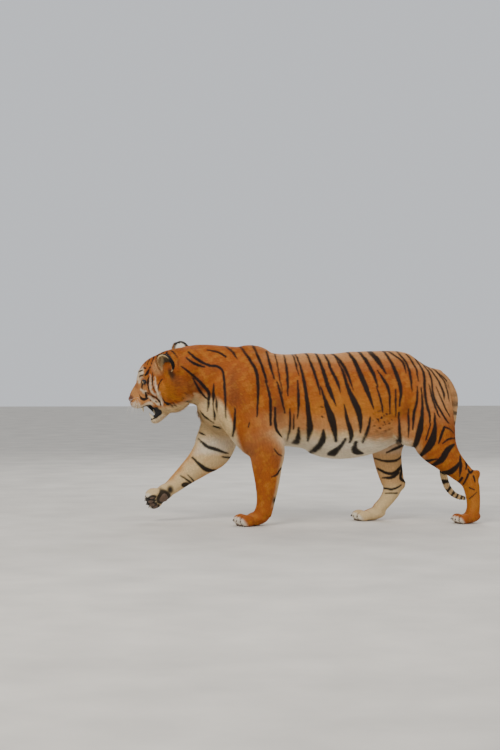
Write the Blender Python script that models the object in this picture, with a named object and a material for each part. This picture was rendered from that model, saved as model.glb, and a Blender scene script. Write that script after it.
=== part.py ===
"""A life-size walking tiger, modelled whole and parted with thin cuts.

+Z is up, the tiger faces -X and its left side is towards -Y. Three paws stand flat on Z = 0
and the right forepaw is lifted forward. All sizes are in metres and angles in degrees.
"""
import math

import bmesh
import bpy
import numpy as np
from mathutils import Euler, Matrix, Vector

# Clearances and mesh sizes
GAP = 0.0004                  # between two parts of flesh that meet
ROOM_GAP = 0.0014             # around an eye, ear, tooth, nose or tongue
VOXEL = 0.006                 # of the skin that fuses the masses
SMOOTHING = 12                # rounds
FINE_TRIANGLES = 8200         # of the whole flesh as fine as its head stays
FLESH_TRIANGLES = 4080        # once the body behind the head is thinned out further

FINE_BEHIND = 0.10            # the head's flesh stays fine this far behind its origin
FINE_ABOVE = 0.48             # and above this height
BALL_RINGS = 12
LOFT_SIDES = 20
LOFT_STEPS = 5                # rings from one station to the next
SMALL_RINGS = 6               # of an ear
TINY_RINGS = 6                # of an eyeball or the nose
CANINE_SIDES = 7
TONGUE_SIDES = 8
GROUND_SIZE = (3.0, 2.0, 0.1)
DOME_ANGLES = (70, 40)        # rings that close the end of a loft, from its tip
DOME_DEPTH = 0.55             # as a share of the end station's half depth

# How the head is carried: its origin lies midway between the ear canals
HEAD_ORIGIN = (-0.672, 0.022, 0.766)
HEAD_YAW = 28.0               # nose turned towards the tiger's right
HEAD_PITCH = 14.5             # nose lowered
HEAD_ROLL = 17.0              # crown leaning towards the tiger's left

# A station of a loft is x, y, z, half depth, half width, and how much wider its top is
TRUNK = (
    (-0.462, 0.000, 0.552, 0.145, 0.114, 0.08),
    (-0.412, 0.000, 0.600, 0.203, 0.148, 0.12),
    (-0.330, 0.000, 0.648, 0.262, 0.172, 0.10),
    (-0.200, 0.000, 0.643, 0.255, 0.182, 0.02),
    (-0.100, 0.000, 0.643, 0.244, 0.192, -0.05),
    (0.030, 0.000, 0.639, 0.259, 0.202, -0.08),
    (0.150, 0.000, 0.617, 0.284, 0.206, -0.10),
    (0.280, 0.000, 0.626, 0.281, 0.198, -0.08),
    (0.400, 0.000, 0.655, 0.258, 0.180, -0.02),
    (0.500, 0.000, 0.680, 0.230, 0.166, 0.04),
    (0.600, 0.000, 0.690, 0.190, 0.152, 0.04),
    (0.670, 0.000, 0.706, 0.148, 0.116, 0.00),
    (0.714, 0.000, 0.728, 0.090, 0.078, 0.00),
)
NECK = (
    (-0.360, 0.000, 0.719, 0.217, 0.150, 0.00),
    (-0.470, 0.002, 0.758, 0.180, 0.140, 0.00),
    (-0.560, 0.014, 0.776, 0.163, 0.134, -0.05),
    (-0.640, 0.028, 0.778, 0.148, 0.124, -0.05),
)
TAIL = (
    (0.660, 0.000, 0.768, 0.052, 0.054, 0.00),
    (0.728, 0.000, 0.740, 0.046, 0.045, 0.00),
    (0.780, 0.005, 0.664, 0.038, 0.037, 0.00),
    (0.788, 0.015, 0.590, 0.031, 0.031, 0.00),
    (0.780, 0.032, 0.500, 0.029, 0.029, 0.00),
    (0.765, 0.048, 0.400, 0.027, 0.027, 0.00),
    (0.752, 0.056, 0.310, 0.025, 0.025, 0.00),
    (0.752, 0.058, 0.245, 0.023, 0.023, 0.00),
    (0.773, 0.056, 0.178, 0.021, 0.021, 0.00),
    (0.812, 0.050, 0.135, 0.019, 0.019, 0.00),
    (0.862, 0.044, 0.118, 0.016, 0.016, 0.00),
)
LEGS = {
    "foreleg_left": (
        (-0.270, -0.070, 0.860, 0.060, 0.038, 0.00),
        (-0.330, -0.110, 0.760, 0.100, 0.062, 0.00),
        (-0.375, -0.135, 0.630, 0.118, 0.070, 0.00),
        (-0.295, -0.142, 0.500, 0.120, 0.068, 0.00),
        (-0.222, -0.142, 0.400, 0.102, 0.062, 0.00),
        (-0.215, -0.142, 0.300, 0.080, 0.055, 0.00),
        (-0.215, -0.141, 0.200, 0.062, 0.048, 0.00),
        (-0.222, -0.140, 0.120, 0.049, 0.045, 0.00),
        (-0.236, -0.140, 0.060, 0.047, 0.047, 0.00),
    ),
    "foreleg_right": (
        (-0.300, 0.070, 0.860, 0.060, 0.038, 0.00),
        (-0.370, 0.105, 0.740, 0.100, 0.060, 0.00),
        (-0.412, 0.125, 0.610, 0.110, 0.066, 0.00),
        (-0.440, 0.130, 0.490, 0.110, 0.064, 0.00),
        (-0.480, 0.130, 0.380, 0.108, 0.060, 0.00),
        (-0.548, 0.125, 0.309, 0.078, 0.055, 0.00),
        (-0.612, 0.120, 0.255, 0.060, 0.048, 0.00),
        (-0.663, 0.116, 0.212, 0.049, 0.045, 0.00),
        (-0.705, 0.112, 0.176, 0.040, 0.045, 0.00),
    ),
    "hindleg_left": (
        (0.620, -0.070, 0.760, 0.120, 0.060, 0.00),
        (0.630, -0.105, 0.630, 0.130, 0.080, 0.00),
        (0.646, -0.118, 0.510, 0.130, 0.080, 0.00),
        (0.678, -0.118, 0.415, 0.112, 0.072, 0.00),
        (0.735, -0.116, 0.338, 0.078, 0.058, 0.00),
        (0.794, -0.114, 0.281, 0.060, 0.046, 0.00),
        (0.852, -0.112, 0.222, 0.050, 0.038, 0.00),
        (0.871, -0.110, 0.145, 0.041, 0.036, 0.00),
        (0.874, -0.110, 0.085, 0.037, 0.038, 0.00),
        (0.866, -0.110, 0.045, 0.038, 0.041, 0.00),
    ),
    "hindleg_right": (
        (0.580, 0.070, 0.740, 0.130, 0.060, 0.00),
        (0.535, 0.100, 0.600, 0.150, 0.078, 0.00),
        (0.470, 0.112, 0.470, 0.115, 0.076, 0.00),
        (0.455, 0.110, 0.380, 0.086, 0.064, 0.00),
        (0.463, 0.107, 0.300, 0.075, 0.054, 0.00),
        (0.480, 0.104, 0.222, 0.066, 0.046, 0.00),
        (0.482, 0.102, 0.165, 0.052, 0.041, 0.00),
        (0.448, 0.100, 0.105, 0.039, 0.038, 0.00),
        (0.405, 0.100, 0.060, 0.035, 0.041, 0.00),
    ),
}

# A muscle is centre, radii and turn about Y
MUSCLES = (
    ((-0.310, -0.120, 0.700), (0.120, 0.070, 0.160), 20),     # left shoulder blade
    ((-0.340, 0.120, 0.700), (0.120, 0.062, 0.160), 20),      # right shoulder blade
    ((-0.285, 0.000, 0.857), (0.125, 0.085, 0.078), 4),       # withers
    ((-0.300, -0.150, 0.520), (0.110, 0.060, 0.110), -30),    # left upper arm
    ((-0.170, -0.140, 0.425), (0.050, 0.045, 0.050), 0),      # left elbow
    ((0.560, -0.105, 0.680), (0.170, 0.078, 0.150), 15),      # left haunch
    ((0.540, 0.100, 0.680), (0.170, 0.074, 0.150), 15),       # right haunch
    ((0.515, -0.110, 0.500), (0.080, 0.050, 0.110), -35),     # left flank fold
    ((0.430, 0.100, 0.480), (0.075, 0.055, 0.100), -20),      # right flank fold
    ((0.886, -0.111, 0.252), (0.026, 0.024, 0.034), 25),      # left hock point
    ((0.534, 0.104, 0.190), (0.024, 0.024, 0.034), 15),       # right hock point
)

# Paws: middle of the sole, forward turn about Z, length, width and height
STANDING_PAWS = {
    "foreleg_left": ((-0.294, -0.142), 16, 0.184, 0.142, 0.074),
    "hindleg_left": ((0.839, -0.110), 14, 0.150, 0.124, 0.062),
    "hindleg_right": ((0.356, 0.100), 10, 0.186, 0.124, 0.068),
}
LIFTED_PAW = ((-0.758, 0.104, 0.146), 0.176, 0.140, 0.070)    # middle, length, width and height
LIFTED_PAW_TURN = (-42, -24, 4)                               # sole rolled to the left, toes down
TOE_SPREAD = (-0.36, -0.13, 0.13, 0.36)                       # across the paw, as shares of its width
TOE_REACH = (0.80, 1.0, 1.0, 0.84)                            # ahead of its middle, as shares

# The head in its own frame: X backwards, Y to its right, Z up
SKULL = (
    (0.120, 0.000, 0.014, 0.104, 0.100, 0.00),
    (0.060, 0.000, 0.021, 0.124, 0.116, 0.00),
    (0.000, 0.000, 0.020, 0.131, 0.122, 0.00),
    (-0.060, 0.000, 0.024, 0.125, 0.112, 0.00),
    (-0.110, 0.000, 0.028, 0.108, 0.092, 0.00),
    (-0.150, 0.000, 0.012, 0.090, 0.070, 0.00),
    (-0.195, 0.000, -0.020, 0.067, 0.059, 0.00),
    (-0.240, 0.000, -0.041, 0.054, 0.058, 0.00),
    (-0.276, 0.000, -0.053, 0.043, 0.047, 0.00),
)
NOSE_BRIDGE = (
    (-0.120, 0.000, 0.082, 0.026, 0.042, 0.00),
    (-0.200, 0.000, 0.030, 0.022, 0.038, 0.00),
    (-0.260, 0.000, -0.011, 0.019, 0.034, 0.00),
    (-0.283, 0.000, -0.034, 0.018, 0.028, 0.00),
)
LOWER_JAW = (
    (0.010, 0.000, -0.090, 0.045, 0.086, 0.00),
    (-0.060, 0.000, -0.118, 0.036, 0.074, 0.00),
    (-0.120, 0.000, -0.153, 0.026, 0.055, 0.00),
    (-0.170, 0.000, -0.178, 0.023, 0.043, 0.00),
    (-0.205, 0.000, -0.187, 0.026, 0.036, 0.00),
)
TONGUE = (
    (-0.110, 0.000, -0.126, 0.012, 0.027, 0.00),
    (-0.150, 0.000, -0.137, 0.012, 0.029, 0.00),
    (-0.190, 0.000, -0.150, 0.009, 0.022, 0.00),
)
# Forms of the right side, each mirrored to the left: centre, radii and turn about Y
HEAD_FORMS = (
    ((-0.045, 0.066, -0.026), (0.110, 0.062, 0.078), 12),     # cheekbone
    ((-0.128, 0.045, 0.066), (0.062, 0.036, 0.034), 26),      # brow
    ((-0.146, 0.038, -0.016), (0.066, 0.035, 0.038), 20),     # under the eye
    ((-0.238, 0.045, -0.064), (0.052, 0.041, 0.037), 0),      # whisker pad
    ((-0.190, 0.042, -0.078), (0.062, 0.026, 0.024), 0),      # upper lip
    ((-0.088, 0.056, -0.084), (0.084, 0.044, 0.054), -12),    # corner of the mouth
    ((0.012, 0.090, -0.050), (0.084, 0.056, 0.104), 0),       # ruff beside the cheek
    ((-0.022, 0.074, -0.106), (0.090, 0.056, 0.060), -12),    # ruff below the cheek
    ((0.025, 0.072, 0.060), (0.094, 0.056, 0.062), 0),        # foot of the ear
)
CHIN = ((-0.208, 0.000, -0.188), (0.025, 0.033, 0.023))
NAPE = ((0.090, 0.000, 0.036), (0.110, 0.112, 0.100))
EYE = ((-0.152, 0.056, 0.034), 0.0205)                        # right eyeball's centre and radius
NOSE = ((-0.288, 0.000, -0.044), (0.018, 0.028, 0.019))
EAR = ((0.020, 0.112, 0.100), (0.035, 0.052, 0.064))          # right ear
EAR_HOLLOW = ((-0.023, 0.006, 0.008), (0.037, 0.040, 0.055))  # from the ear's centre
EAR_TURN = (-8, -14, -72)                                     # tip back and outwards, cup to the side
UPPER_CANINE = (
    (-0.238, 0.034, -0.080, 0.0105, 0.0095, 0.00),
    (-0.243, 0.035, -0.108, 0.0085, 0.0075, 0.00),
    (-0.239, 0.035, -0.128, 0.0040, 0.0040, 0.00),
)
LOWER_CANINE = (
    (-0.201, 0.026, -0.172, 0.0090, 0.0080, 0.00),
    (-0.211, 0.028, -0.150, 0.0070, 0.0065, 0.00),
    (-0.211, 0.029, -0.136, 0.0035, 0.0035, 0.00),
)

# A cut is a thin plate: centre, turn from level, and half sizes along its own X and Y
CUTS = (
    ((-0.590, 0.016, 0.780), (0, 92, -10), (0.212, 0.200)),   # head from neck
    ((-0.482, 0.000, 0.786), (0, 112, 0), (0.238, 0.230)),    # neck from chest
    ((-0.095, 0.000, 0.650), (0, 90, 0), (0.330, 0.300)),     # chest from belly
    ((0.315, 0.000, 0.640), (0, 90, 0), (0.330, 0.300)),      # belly from rump
    ((0.792, 0.012, 0.600), (0, 0, 0), (0.052, 0.050)),       # tail from rump
    ((0.765, 0.046, 0.410), (0, 8, 0), (0.060, 0.045)),       # tail's upper length
    ((0.760, 0.058, 0.208), (0, -18, 0), (0.040, 0.045)),     # tail's lower length
    ((-0.275, -0.150, 0.478), (-48, 0, 0), (0.175, 0.140)),   # left foreleg
    ((-0.215, -0.142, 0.300), (0, 0, 0), (0.110, 0.080)),
    ((-0.225, -0.142, 0.098), (0, 0, 0), (0.080, 0.080)),
    ((-0.460, 0.140, 0.450), (48, 20, 0), (0.180, 0.135)),    # right foreleg
    ((-0.545, 0.126, 0.302), (0, 50, 0), (0.110, 0.085)),
    ((-0.690, 0.113, 0.188), (0, 50, 0), (0.085, 0.080)),
    ((0.640, -0.130, 0.545), (-50, -28, 0), (0.230, 0.160)),  # left hind leg
    ((0.735, -0.116, 0.338), (0, -53, 0), (0.120, 0.085)),
    ((0.872, -0.110, 0.100), (0, 0, 0), (0.070, 0.075)),
    ((0.527, 0.122, 0.513), (50, -32, -4), (0.208, 0.148)),   # right hind leg
    ((0.462, 0.108, 0.305), (0, 0, 0), (0.110, 0.080)),
    ((0.445, 0.100, 0.100), (0, 38, 0), (0.070, 0.075)),
)
JAW_CUT = ((-0.100, 0.000, -0.160), (0, 32, 0), (0.088, 0.145))   # in the head's frame

# A point inside each part that the cuts leave
FLESH_PARTS = {
    "neck": (-0.520, 0.006, 0.780),
    "chest": (-0.280, 0.000, 0.680),
    "belly": (0.120, 0.000, 0.640),
    "rump": (0.540, 0.000, 0.700),
    "tail_base": (0.785, 0.025, 0.530),
    "tail_middle": (0.755, 0.056, 0.300),
    "tail_tip": (0.815, 0.050, 0.140),
    "foreleg_left_upper": (-0.225, -0.145, 0.390),
    "foreleg_left_lower": (-0.218, -0.141, 0.200),
    "forepaw_left": (-0.290, -0.140, 0.045),
    "foreleg_right_upper": (-0.480, 0.128, 0.380),
    "foreleg_right_lower": (-0.620, 0.120, 0.240),
    "forepaw_right": (-0.760, 0.105, 0.145),
    "hindleg_left_upper": (0.680, -0.118, 0.430),
    "hindleg_left_lower": (0.830, -0.113, 0.230),
    "hindpaw_left": (0.850, -0.110, 0.045),
    "hindleg_right_upper": (0.460, 0.110, 0.380),
    "hindleg_right_lower": (0.475, 0.104, 0.200),
    "hindpaw_right": (0.370, 0.100, 0.045),
}
HEAD_PARTS = {
    "head": (-0.060, 0.000, 0.000),
    "jaw": (-0.160, 0.000, -0.172),
}

# Finishes: colour, roughness and metallic
COAT = ((0.36, 0.13, 0.025), 0.80, 0.0)
PALE_COAT = ((0.62, 0.50, 0.36), 0.82, 0.0)
DARK_COAT = ((0.035, 0.026, 0.020), 0.80, 0.0)
LEATHER = ((0.25, 0.10, 0.055), 0.50, 0.0)
EYEBALL = ((0.30, 0.19, 0.03), 0.08, 0.0)
TOOTH = ((0.80, 0.72, 0.55), 0.25, 0.0)
FLESH = ((0.42, 0.13, 0.11), 0.40, 0.0)
FINISHES = {"jaw": PALE_COAT}


def catmull_rom(rows, steps):
    """Rows read off a smooth curve through the given rows."""
    rows = np.array(rows, dtype=float)
    padded = np.vstack((2 * rows[0] - rows[1], rows, 2 * rows[-1] - rows[-2]))
    out = []
    for i in range(1, len(padded) - 2):
        a, b, c, d = padded[i - 1:i + 3]
        for t in np.arange(steps) / steps:
            out.append(0.5 * (2 * b + (c - a) * t + (2 * a - 5 * b + 4 * c - d) * t ** 2
                              + (3 * b - a - 3 * c + d) * t ** 3))
    out.append(rows[-1])
    return np.array(out)


def add_loft(bm, stations, sides=LOFT_SIDES, steps=LOFT_STEPS):
    """A closed body of rounded rings along a path, with domed ends."""
    rows = catmull_rom(stations, steps)
    points = rows[:, :3]
    tangents = np.gradient(points, axis=0)
    tangents /= np.linalg.norm(tangents, axis=1)[:, None]
    rings = []
    dome = [(math.sin(a) * DOME_DEPTH, math.cos(a)) for a in np.radians(DOME_ANGLES)]
    for out, shrink in dome:
        rings.append((points[0] - tangents[0] * out * rows[0, 3], tangents[0], rows[0], shrink))
    for row, tangent in zip(rows, tangents):
        rings.append((row[:3], tangent, row, 1.0))
    for out, shrink in reversed(dome):
        rings.append((points[-1] + tangents[-1] * out * rows[-1, 3], tangents[-1], rows[-1], shrink))
    angles = np.arange(sides) * 2 * math.pi / sides
    loops = []
    for centre, tangent, row, shrink in rings:
        side = np.array((0.0, 1.0, 0.0)) - tangent * tangent[1]
        side /= np.linalg.norm(side)
        up = np.cross(tangent, side)
        loop = []
        for angle in angles:
            height = math.sin(angle)
            width = math.cos(angle) * (1.0 + row[5] * height)
            point = centre + shrink * (up * height * row[3] + side * width * row[4])
            loop.append(bm.verts.new(point))
        loops.append(loop)
    for one, two in zip(loops, loops[1:]):
        for i in range(sides):
            j = (i + 1) % sides
            bm.faces.new((one[i], one[j], two[j], two[i]))
    bm.faces.new(loops[0])
    bm.faces.new(loops[-1])


def add_ball(bm, centre, radii, turn=(0, 0, 0), matrix=Matrix(), rings=BALL_RINGS):
    """An ellipsoid."""
    turned = Euler([math.radians(a) for a in turn]).to_matrix().to_4x4()
    place = matrix @ Matrix.Translation(centre) @ turned @ Matrix.Diagonal((*radii, 1.0))
    bmesh.ops.create_uvsphere(bm, u_segments=2 * rings, v_segments=rings, radius=1.0, matrix=place)


def add_paw(bm, matrix, length, width, height):
    """A paw whose sole's middle is the matrix's origin, with its toes towards -X."""
    add_ball(bm, (0.16 * length, 0, 0.52 * height), (0.36 * length, 0.40 * width, 0.50 * height),
             (0, -8, 0), matrix)
    add_ball(bm, (0.02 * length, 0, 0.30 * height), (0.30 * length, 0.36 * width, 0.36 * height),
             (0, 0, 0), matrix)
    for spread, reach in zip(TOE_SPREAD, TOE_REACH):
        middle = (-0.27 * length * reach, spread * width, 0.40 * height)
        add_ball(bm, middle, (0.24 * length, 0.145 * width, 0.44 * height), (0, 0, -14 * spread), matrix)


def new_object(name, bm):
    """An object of a bmesh, with its faces turned outwards."""
    bmesh.ops.recalc_face_normals(bm, faces=bm.faces)
    mesh = bpy.data.meshes.new(name)
    bm.to_mesh(mesh)
    bm.free()
    obj = bpy.data.objects.new(name, mesh)
    bpy.context.scene.collection.objects.link(obj)
    return obj


def applied(obj):
    """The object with its modifiers made part of its mesh."""
    graph = bpy.context.evaluated_depsgraph_get()
    mesh = bpy.data.meshes.new_from_object(obj.evaluated_get(graph))
    obj.modifiers.clear()
    obj.data = mesh
    return obj


def head_matrix():
    """From the head's own frame to the world."""
    turn = Matrix.Rotation(math.radians(-HEAD_YAW), 4, "Z")
    turn = turn @ Matrix.Rotation(math.radians(-HEAD_PITCH), 4, "Y")
    turn = turn @ Matrix.Rotation(math.radians(HEAD_ROLL), 4, "X")
    return Matrix.Translation(HEAD_ORIGIN) @ turn


def add_body(bm):
    """The masses of the trunk, neck, tail, legs and paws."""
    for stations in (TRUNK, NECK, TAIL, *LEGS.values()):
        add_loft(bm, stations)
    for centre, radii, turn in MUSCLES:
        add_ball(bm, centre, radii, (0, turn, 0))
    for (x, y), turn, length, width, height in STANDING_PAWS.values():
        matrix = Matrix.Translation((x, y, 0)) @ Matrix.Rotation(math.radians(turn), 4, "Z")
        add_paw(bm, matrix, length, width, height)
    middle, length, width, height = LIFTED_PAW
    turned = Euler([math.radians(a) for a in LIFTED_PAW_TURN]).to_matrix().to_4x4()
    matrix = Matrix.Translation(middle) @ turned @ Matrix.Translation((0, 0, -height / 2))
    add_paw(bm, matrix, length, width, height)


def add_head(bm):
    """The masses of the head, in its own frame."""
    for stations in (SKULL, NOSE_BRIDGE, LOWER_JAW):
        add_loft(bm, stations)
    for (x, y, z), radii, turn in HEAD_FORMS:
        for side in (-1, 1):
            add_ball(bm, (x, side * y, z), radii, (0, turn, 0))
    add_ball(bm, *CHIN)
    add_ball(bm, *NAPE)


def fused_flesh():
    """One smooth closed skin around all the masses, finest at the head."""
    bm = bmesh.new()
    add_head(bm)
    bm.transform(head_matrix())
    add_body(bm)
    flesh = new_object("flesh", bm)
    remesh = flesh.modifiers.new("fuse", "REMESH")
    remesh.mode = "VOXEL"
    remesh.voxel_size = VOXEL
    smooth = flesh.modifiers.new("smooth", "SMOOTH")
    smooth.factor = 0.5
    smooth.iterations = SMOOTHING
    applied(flesh)
    thinned(flesh, FINE_TRIANGLES)
    behind_head = flesh.vertex_groups.new(name="behind head")
    nape = HEAD_ORIGIN[0] + FINE_BEHIND
    body = [v.index for v in flesh.data.vertices if v.co.x > nape or v.co.z < FINE_ABOVE]
    behind_head.add(body, 1.0, "REPLACE")
    return thinned(flesh, FLESH_TRIANGLES, behind_head.name)


def thinned(obj, triangles, group=""):
    """The object in about so many triangles, taken only from the group where one is named."""
    obj.data.calc_loop_triangles()
    decimate = obj.modifiers.new("thin out", "DECIMATE")
    decimate.ratio = triangles / len(obj.data.loop_triangles)
    decimate.vertex_group = group
    decimate.vertex_group_factor = 0.0
    decimate.use_collapse_triangulate = True
    return applied(obj)


def cutter_object(name, bm):
    """A tool that a Boolean takes away, which isn't part of the model."""
    obj = new_object(name, bm)
    obj.hide_render = True
    obj.display_type = "WIRE"
    return obj


def cut_away(obj, cutter):
    """The object less the cutter."""
    cut = obj.modifiers.new("cut", "BOOLEAN")
    cut.operation = "DIFFERENCE"
    cut.solver = "EXACT"
    cut.object = cutter
    return applied(obj)


def cut_by_plate(flesh, cut, matrix=Matrix()):
    """The flesh parted by one thin plate."""
    centre, turn, (half_x, half_y) = cut
    turned = Euler([math.radians(a) for a in turn]).to_matrix().to_4x4()
    size = Matrix.Diagonal((2 * half_x, 2 * half_y, GAP, 1.0))
    bm = bmesh.new()
    bmesh.ops.create_cube(bm, size=1.0, matrix=matrix @ Matrix.Translation(centre) @ turned @ size)
    return cut_away(flesh, cutter_object("plate", bm))


def ground():
    """The space below the floor, which flattens the soles."""
    bm = bmesh.new()
    below = Matrix.Translation((0, 0, -GROUND_SIZE[2] / 2))
    bmesh.ops.create_cube(bm, size=1.0, matrix=below @ Matrix.Diagonal((*GROUND_SIZE, 1.0)))
    return cutter_object("ground", bm)


def body_of_each(obj):
    """The number of the separate closed body that each vertex belongs to."""
    count = len(obj.data.vertices)
    edges = np.empty(2 * len(obj.data.edges), dtype=np.int64)
    obj.data.edges.foreach_get("vertices", edges)
    edges = edges.reshape(-1, 2)
    body = np.arange(count)
    while True:
        lowest = np.minimum(body[edges[:, 0]], body[edges[:, 1]])
        wanted = body.copy()
        np.minimum.at(wanted, edges[:, 0], lowest)
        np.minimum.at(wanted, edges[:, 1], lowest)
        wanted = wanted[wanted]
        if (wanted == body).all():
            return body
        body = wanted


def parted(flesh, places):
    """A named object for each separate body, found by the place nearest to its middle."""
    body = body_of_each(flesh)
    found = {}
    for number in np.unique(body):
        bm = bmesh.new()
        bm.from_mesh(flesh.data)
        bm.verts.ensure_lookup_table()
        others = [bm.verts[i] for i in np.flatnonzero(body != number)]
        bmesh.ops.delete(bm, geom=others, context="VERTS")
        corners = np.array([v.co for v in bm.verts])
        middle = Vector((corners.min(axis=0) + corners.max(axis=0)) / 2)
        name = min(places, key=lambda key: (places[key] - middle).length)
        if name in found:
            raise RuntimeError("two bodies are nearest to " + name)
        found[name] = new_object(name, bm)
    missing = set(places) - set(found)
    if missing:
        raise RuntimeError("the cuts leave no " + ", ".join(sorted(missing)))
    bpy.data.objects.remove(flesh, do_unlink=True)
    return found


def loft_object(name, stations, matrix, sides, steps):
    """A separate body along a path, placed by the matrix."""
    bm = bmesh.new()
    add_loft(bm, stations, sides, steps)
    bm.transform(matrix)
    return new_object(name, bm)


def ball_object(name, centre, radii, matrix, rings):
    """A separate ellipsoid, placed by the matrix."""
    bm = bmesh.new()
    add_ball(bm, centre, radii, rings=rings)
    bm.transform(matrix)
    return new_object(name, bm)


def mirrored(stations, side):
    """The stations of a head's feature, on the right where side is 1 and on the left at -1."""
    return [(x, side * y, *rest) for x, y, *rest in stations]


def ear(name, side, head):
    """A cupped ear, its hollow cut by a smaller ball."""
    tilt, lean, swing = EAR_TURN
    turned = Euler([math.radians(a) for a in (side * tilt, lean, side * swing)]).to_matrix().to_4x4()
    (x, y, z), radii = EAR
    place = head @ Matrix.Translation((x, side * y, z)) @ turned
    outer = ball_object(name, (0, 0, 0), radii, place, SMALL_RINGS)
    (x, y, z), radii = EAR_HOLLOW
    hollow = bmesh.new()
    add_ball(hollow, (x, side * y, z), radii, rings=SMALL_RINGS)
    hollow.transform(place)
    return cut_away(outer, cutter_object(name + "_hollow", hollow))


def pocket(host, guest):
    """Room in the host for the guest, a gap wider than it all round."""
    return cut_away(host, cutter_object(guest.name + "_room", grown(guest)))


def grown(obj):
    """The object's mesh, pushed out along its normals by the gap."""
    bm = bmesh.new()
    bm.from_mesh(obj.data)
    bm.normal_update()
    for vert in bm.verts:
        vert.co += vert.normal * ROOM_GAP * vert.calc_shell_factor()
    return bm


def features(head):
    """Eyes, ears, nose, tongue and canines, each with the flesh parts that make room for it."""
    made = [(loft_object("tongue", TONGUE, head, TONGUE_SIDES, 2), ("head", "jaw"), FLESH)]
    made.append((ball_object("nose", *NOSE, head, TINY_RINGS), ("head",), LEATHER))
    for word, side in (("left", -1), ("right", 1)):
        (x, y, z), radius = EYE
        eye = ball_object("eye_" + word, (x, side * y, z), (radius,) * 3, head, TINY_RINGS)
        made.append((eye, ("head",), EYEBALL))
        made.append((ear("ear_" + word, side, head), ("head",), DARK_COAT))
        upper = loft_object("canine_upper_" + word, mirrored(UPPER_CANINE, side), head, CANINE_SIDES, 1)
        lower = loft_object("canine_lower_" + word, mirrored(LOWER_CANINE, side), head, CANINE_SIDES, 1)
        made.append((upper, ("head",), TOOTH))
        made.append((lower, ("jaw",), TOOTH))
    return made


def material(name, finish):
    """A Principled material of one colour, roughness and metallic value."""
    (red, green, blue), roughness, metallic = finish
    made = bpy.data.materials.new(name)
    made.use_nodes = True
    shader = made.node_tree.nodes["Principled BSDF"]
    shader.inputs["Base Color"].default_value = (red, green, blue, 1.0)
    shader.inputs["Roughness"].default_value = roughness
    shader.inputs["Metallic"].default_value = metallic
    return made


def finish(obj, look):
    """The object in a material of its own."""
    obj.data.materials.clear()
    obj.data.materials.append(material(obj.name, look))


def main():
    for obj in list(bpy.data.objects):
        bpy.data.objects.remove(obj, do_unlink=True)
    head = head_matrix()
    flesh = cut_away(fused_flesh(), ground())
    for cut in CUTS:
        flesh = cut_by_plate(flesh, cut)
    flesh = cut_by_plate(flesh, JAW_CUT, head)
    places = {name: Vector(place) for name, place in FLESH_PARTS.items()}
    places.update({name: head @ Vector(place) for name, place in HEAD_PARTS.items()})
    parts = parted(flesh, places)
    for name, obj in parts.items():
        finish(obj, FINISHES.get(name, COAT))
    for guest, hosts, look in features(head):
        for host in hosts:
            pocket(parts[host], guest)
        finish(guest, look)


main()
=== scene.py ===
"""The looks of a life-size walking tiger: skin, coat, eyes, nose, mouth, ears and whiskers.

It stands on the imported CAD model's frame: metres, +Z up, the tiger faces -X and its left side is
towards -Y. The skin is modelled from the same masses as the solids and lies a little inside them,
under the coat.
Stations and stripes are tables in millimetres, and the other tables are in metres.
"""

import math
from types import SimpleNamespace

import bmesh
import bpy
import numpy as np
from mathutils import Euler, Matrix, Vector


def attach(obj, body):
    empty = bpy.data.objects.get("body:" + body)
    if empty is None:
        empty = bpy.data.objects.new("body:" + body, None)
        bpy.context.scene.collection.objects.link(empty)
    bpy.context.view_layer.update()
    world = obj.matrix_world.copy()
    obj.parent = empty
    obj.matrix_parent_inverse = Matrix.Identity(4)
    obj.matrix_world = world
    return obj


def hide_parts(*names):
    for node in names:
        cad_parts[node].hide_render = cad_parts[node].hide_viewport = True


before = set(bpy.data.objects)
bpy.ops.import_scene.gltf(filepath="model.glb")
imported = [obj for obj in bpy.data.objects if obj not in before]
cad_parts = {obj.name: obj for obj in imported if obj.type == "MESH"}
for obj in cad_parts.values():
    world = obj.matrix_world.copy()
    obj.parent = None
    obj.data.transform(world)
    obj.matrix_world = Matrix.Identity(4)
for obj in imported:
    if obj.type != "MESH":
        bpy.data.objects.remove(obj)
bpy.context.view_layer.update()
random = np.random.default_rng(11)

# The view and the lights
LENS = 73.25
CAMERA = (-0.988, -7.970, 0.776)
CAMERA_TURN = math.radians(5.0)
LIGHT_SIZE = 3.0
LIGHTS = (                    # name, place, target, power and colour
    ("key", (-3.0, -4.5, 5.0), (0.0, 0.0, 0.5), 280.0, (1.0, 0.97, 0.92)),
    ("fill", (4.0, -4.0, 3.0), (0.2, 0.0, 0.5), 70.0, (1.0, 1.0, 1.0)),
    ("back", (1.0, 4.5, 4.0), (0.0, 0.0, 0.6), 120.0, (1.0, 1.0, 1.0)),
)
WORLD_LIGHT = 0.75

# How finely things are made
LOFT_SIDES = 20
LOFT_STEPS = 5                # rings from one station to the next
BALL_RINGS = 12
DOME_ANGLES = (70, 40)
DOME_DEPTH = 0.55
FINE_BALL = (47, 64)          # rings and steps of the nose and tongue
PAD_RINGS = 10
PAD_STEPS = 36
EAR_RINGS = 39
EAR_STEPS = 60
EYE_STEPS = 40
LID_STEPS = 48
MOUTH_LEVELS = 8

# The skin
SKIN_VOXEL = 0.0055
FACE_BEHIND = 0.03            # the skin is twice as fine ahead of this, in the head's frame
SKIN_SMOOTHING = 10           # rounds of smoothing, here and below
FACE_ROUNDS = 6
EVEN_ROUNDS = 220
SHARE_ROUNDS = 12
LIE_ROUNDS = 30
LENGTH_ROUNDS = 6
EVEN_SPOTS = (                # evened places of the back: x and z, half size
    ((0.140, 0.900), (0.140, 0.050)),
    ((0.640, 0.850), (0.120, 0.075)),
)
SOLE_HEIGHT = 0.003
SOCKET_GAP = 0.0045           # from an eyeball's surface in to its socket
CLEFT_DEPTH = 0.0055          # of the clefts between the toes

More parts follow.
